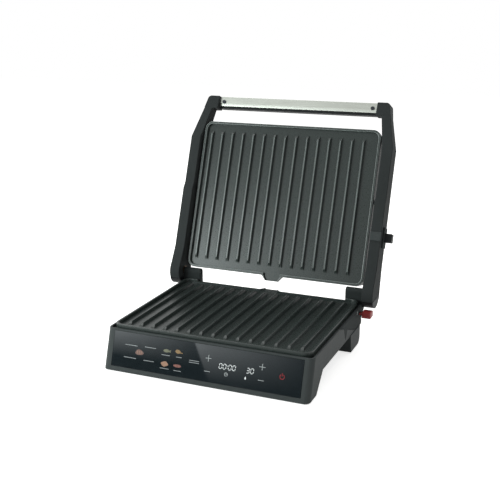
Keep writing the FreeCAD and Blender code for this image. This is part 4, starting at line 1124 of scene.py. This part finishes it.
@dataclass(frozen=True)
class Studio:
    """Pale floor, white surround, soft boxes and the camera, in metres and degrees.

    The camera's numbers are fitted to the photograph's straight edges, in a frame of 500 pixels.
    """

    floor_size: float = 8.0
    floor_colour: str = "#F4F4F2"
    floor_lift: float = 0.7
    mirror_lift: float = 0.3
    ambient: float = 0.35
    azimuth: float = 22.47
    elevation: float = 15.75
    distance: float = 1.25011
    look_at: Place = (0.0, 0.0, 0.062)
    slide_right: float = 0.01496
    slide_up: float = 0.08992
    focal_px: float = 861.02
    frame_px: float = 500.0
    sensor_mm: float = 36.0
    card: GradedCard = GradedCard()
    lamps: tuple[Lamp, ...] = (
        Lamp("key_soft_box", place=(-1.0, 0.2, 1.9), aim=(0.0, 0.05, 0.12),
             wide=1.2, tall=1.2, watts=14.0),
        Lamp("left_soft_box", place=(-1.6, -0.35, 0.45), aim=(0.0, 0.05, 0.2),
             wide=0.6, tall=0.9, watts=9.0),
        Lamp("left_edge_box", place=(-1.6, 0.5, 0.25), aim=(-0.15, -0.12, 0.04),
             wide=0.4, tall=0.5, watts=5.0),
        Lamp("plate_soft_box", place=(-0.96, -1.02, 0.5), aim=(-0.05, 0.12, 0.16),
             wide=0.85, tall=0.42, watts=14.5, colour="#F0FBFA"),
        Lamp("right_edge_box", place=(1.7, -0.5, 0.45), aim=(0.15, 0.1, 0.2),
             wide=0.3, tall=0.9, watts=4.0),
        Lamp("rear_soft_box", place=(0.4, 1.6, 1.6), aim=(0.0, 0.1, 0.15),
             wide=1.4, tall=0.8, watts=12.0),
    )

    def lay_floor(self) -> None:
        """Lays the floor: it keeps the soft shadow, and shines white in reflections."""
        material = new_material("matt_white_sweep")
        tree = material.node_tree
        path = add_node(tree, "LightPath").outputs
        mirrored = add_node(tree, "Math", {"operation": "MAXIMUM"},
                            {0: path["Is Glossy Ray"], 1: path["Is Transmission Ray"]})
        seen = add_node(tree, "Math", {"operation": "MULTIPLY", 1: self.floor_lift},
                        {0: path["Is Camera Ray"]})
        level = add_node(tree, "Math", {"operation": "MULTIPLY_ADD", 1: self.mirror_lift},
                         {0: mirrored.outputs[0], 2: seen.outputs[0]})
        matt = add_node(tree, "BsdfDiffuse", {"Color": linear(self.floor_colour)})
        lift = add_node(tree, "Emission", {"Color": linear(WHITE)}, {"Strength": level.outputs[0]})
        both = add_node(tree, "AddShader", links={0: matt.outputs[0], 1: lift.outputs[0]})
        add_node(tree, "OutputMaterial", links={"Surface": both.outputs[0]})
        half = self.floor_size / 2
        corners = [(-half, -half, 0), (half, -half, 0), (half, half, 0), (-half, half, 0)]
        floor = put_sheet("floor", corners, material)

    def light_surround(self) -> None:
        """Makes the surround: white where it is seen or mirrored, and a plain level elsewhere."""
        world = bpy.data.worlds.new("white_surround")
        bpy.context.scene.world = world
        world.use_nodes = True
        tree = world.node_tree
        tree.nodes.clear()
        path = add_node(tree, "LightPath").outputs
        mirrored = add_node(tree, "Math", {"operation": "MAXIMUM"},
                            {0: path["Is Glossy Ray"], 1: path["Is Transmission Ray"]})
        seen = add_node(tree, "Math", {"operation": "MAXIMUM"},
                        {0: path["Is Camera Ray"], 1: mirrored.outputs[0]})
        plain = add_node(tree, "Background", {"Color": linear(WHITE), "Strength": self.ambient})
        white = add_node(tree, "Background", {"Color": linear(WHITE), "Strength": 1.0})
        mixed = add_node(tree, "MixShader",
                         links={0: seen.outputs[0], 1: plain.outputs[0], 2: white.outputs[0]})
        add_node(tree, "OutputWorld", links={"Surface": mixed.outputs[0]})

    def set_camera(self) -> None:
        """Sets the camera at the photograph's viewing angle."""
        turn, rise = math.radians(self.azimuth), math.radians(self.elevation)
        back = Vector((math.sin(turn) * math.cos(rise), -math.cos(turn) * math.cos(rise), math.sin(rise)))
        right = Vector((math.cos(turn), math.sin(turn), 0))
        up = back.cross(right)
        eye = Vector(self.look_at) + right * self.slide_right + up * self.slide_up + back * self.distance
        data = bpy.data.cameras.new("camera")
        data.sensor_width = self.sensor_mm
        data.lens = self.focal_px * self.sensor_mm / self.frame_px
        camera = bpy.data.objects.new("camera", data)
        facing = Matrix((right, up, back)).transposed().to_4x4()
        camera.matrix_world = Matrix.Translation(eye) @ facing
        bpy.context.scene.collection.objects.link(camera)
        bpy.context.scene.camera = camera

    def build(self) -> None:
        """Sets up the whole studio."""
        bpy.context.scene.view_settings.view_transform = "Standard"
        self.lay_floor()
        self.light_surround()
        self.card.build()
        for lamp in self.lamps:
            lamp.build()
        self.set_camera()


def main() -> None:
    """Builds the dressed grill in order."""
    logging.basicConfig(level=logging.INFO, format="%(name)s %(message)s")
    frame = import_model()
    wardrobe = Wardrobe()
    wardrobe.dress_frame(frame["nodes"])
    for moulding in MOULDINGS:
        moulding.build(frame, wardrobe)
    TouchPanel().build(frame["nodes"]["touch_glass"], wardrobe)
    TowerMark().build(frame, wardrobe)
    LockBar().build(frame, wardrobe)
    Studio().build()


if __name__ == "__main__":
    main()
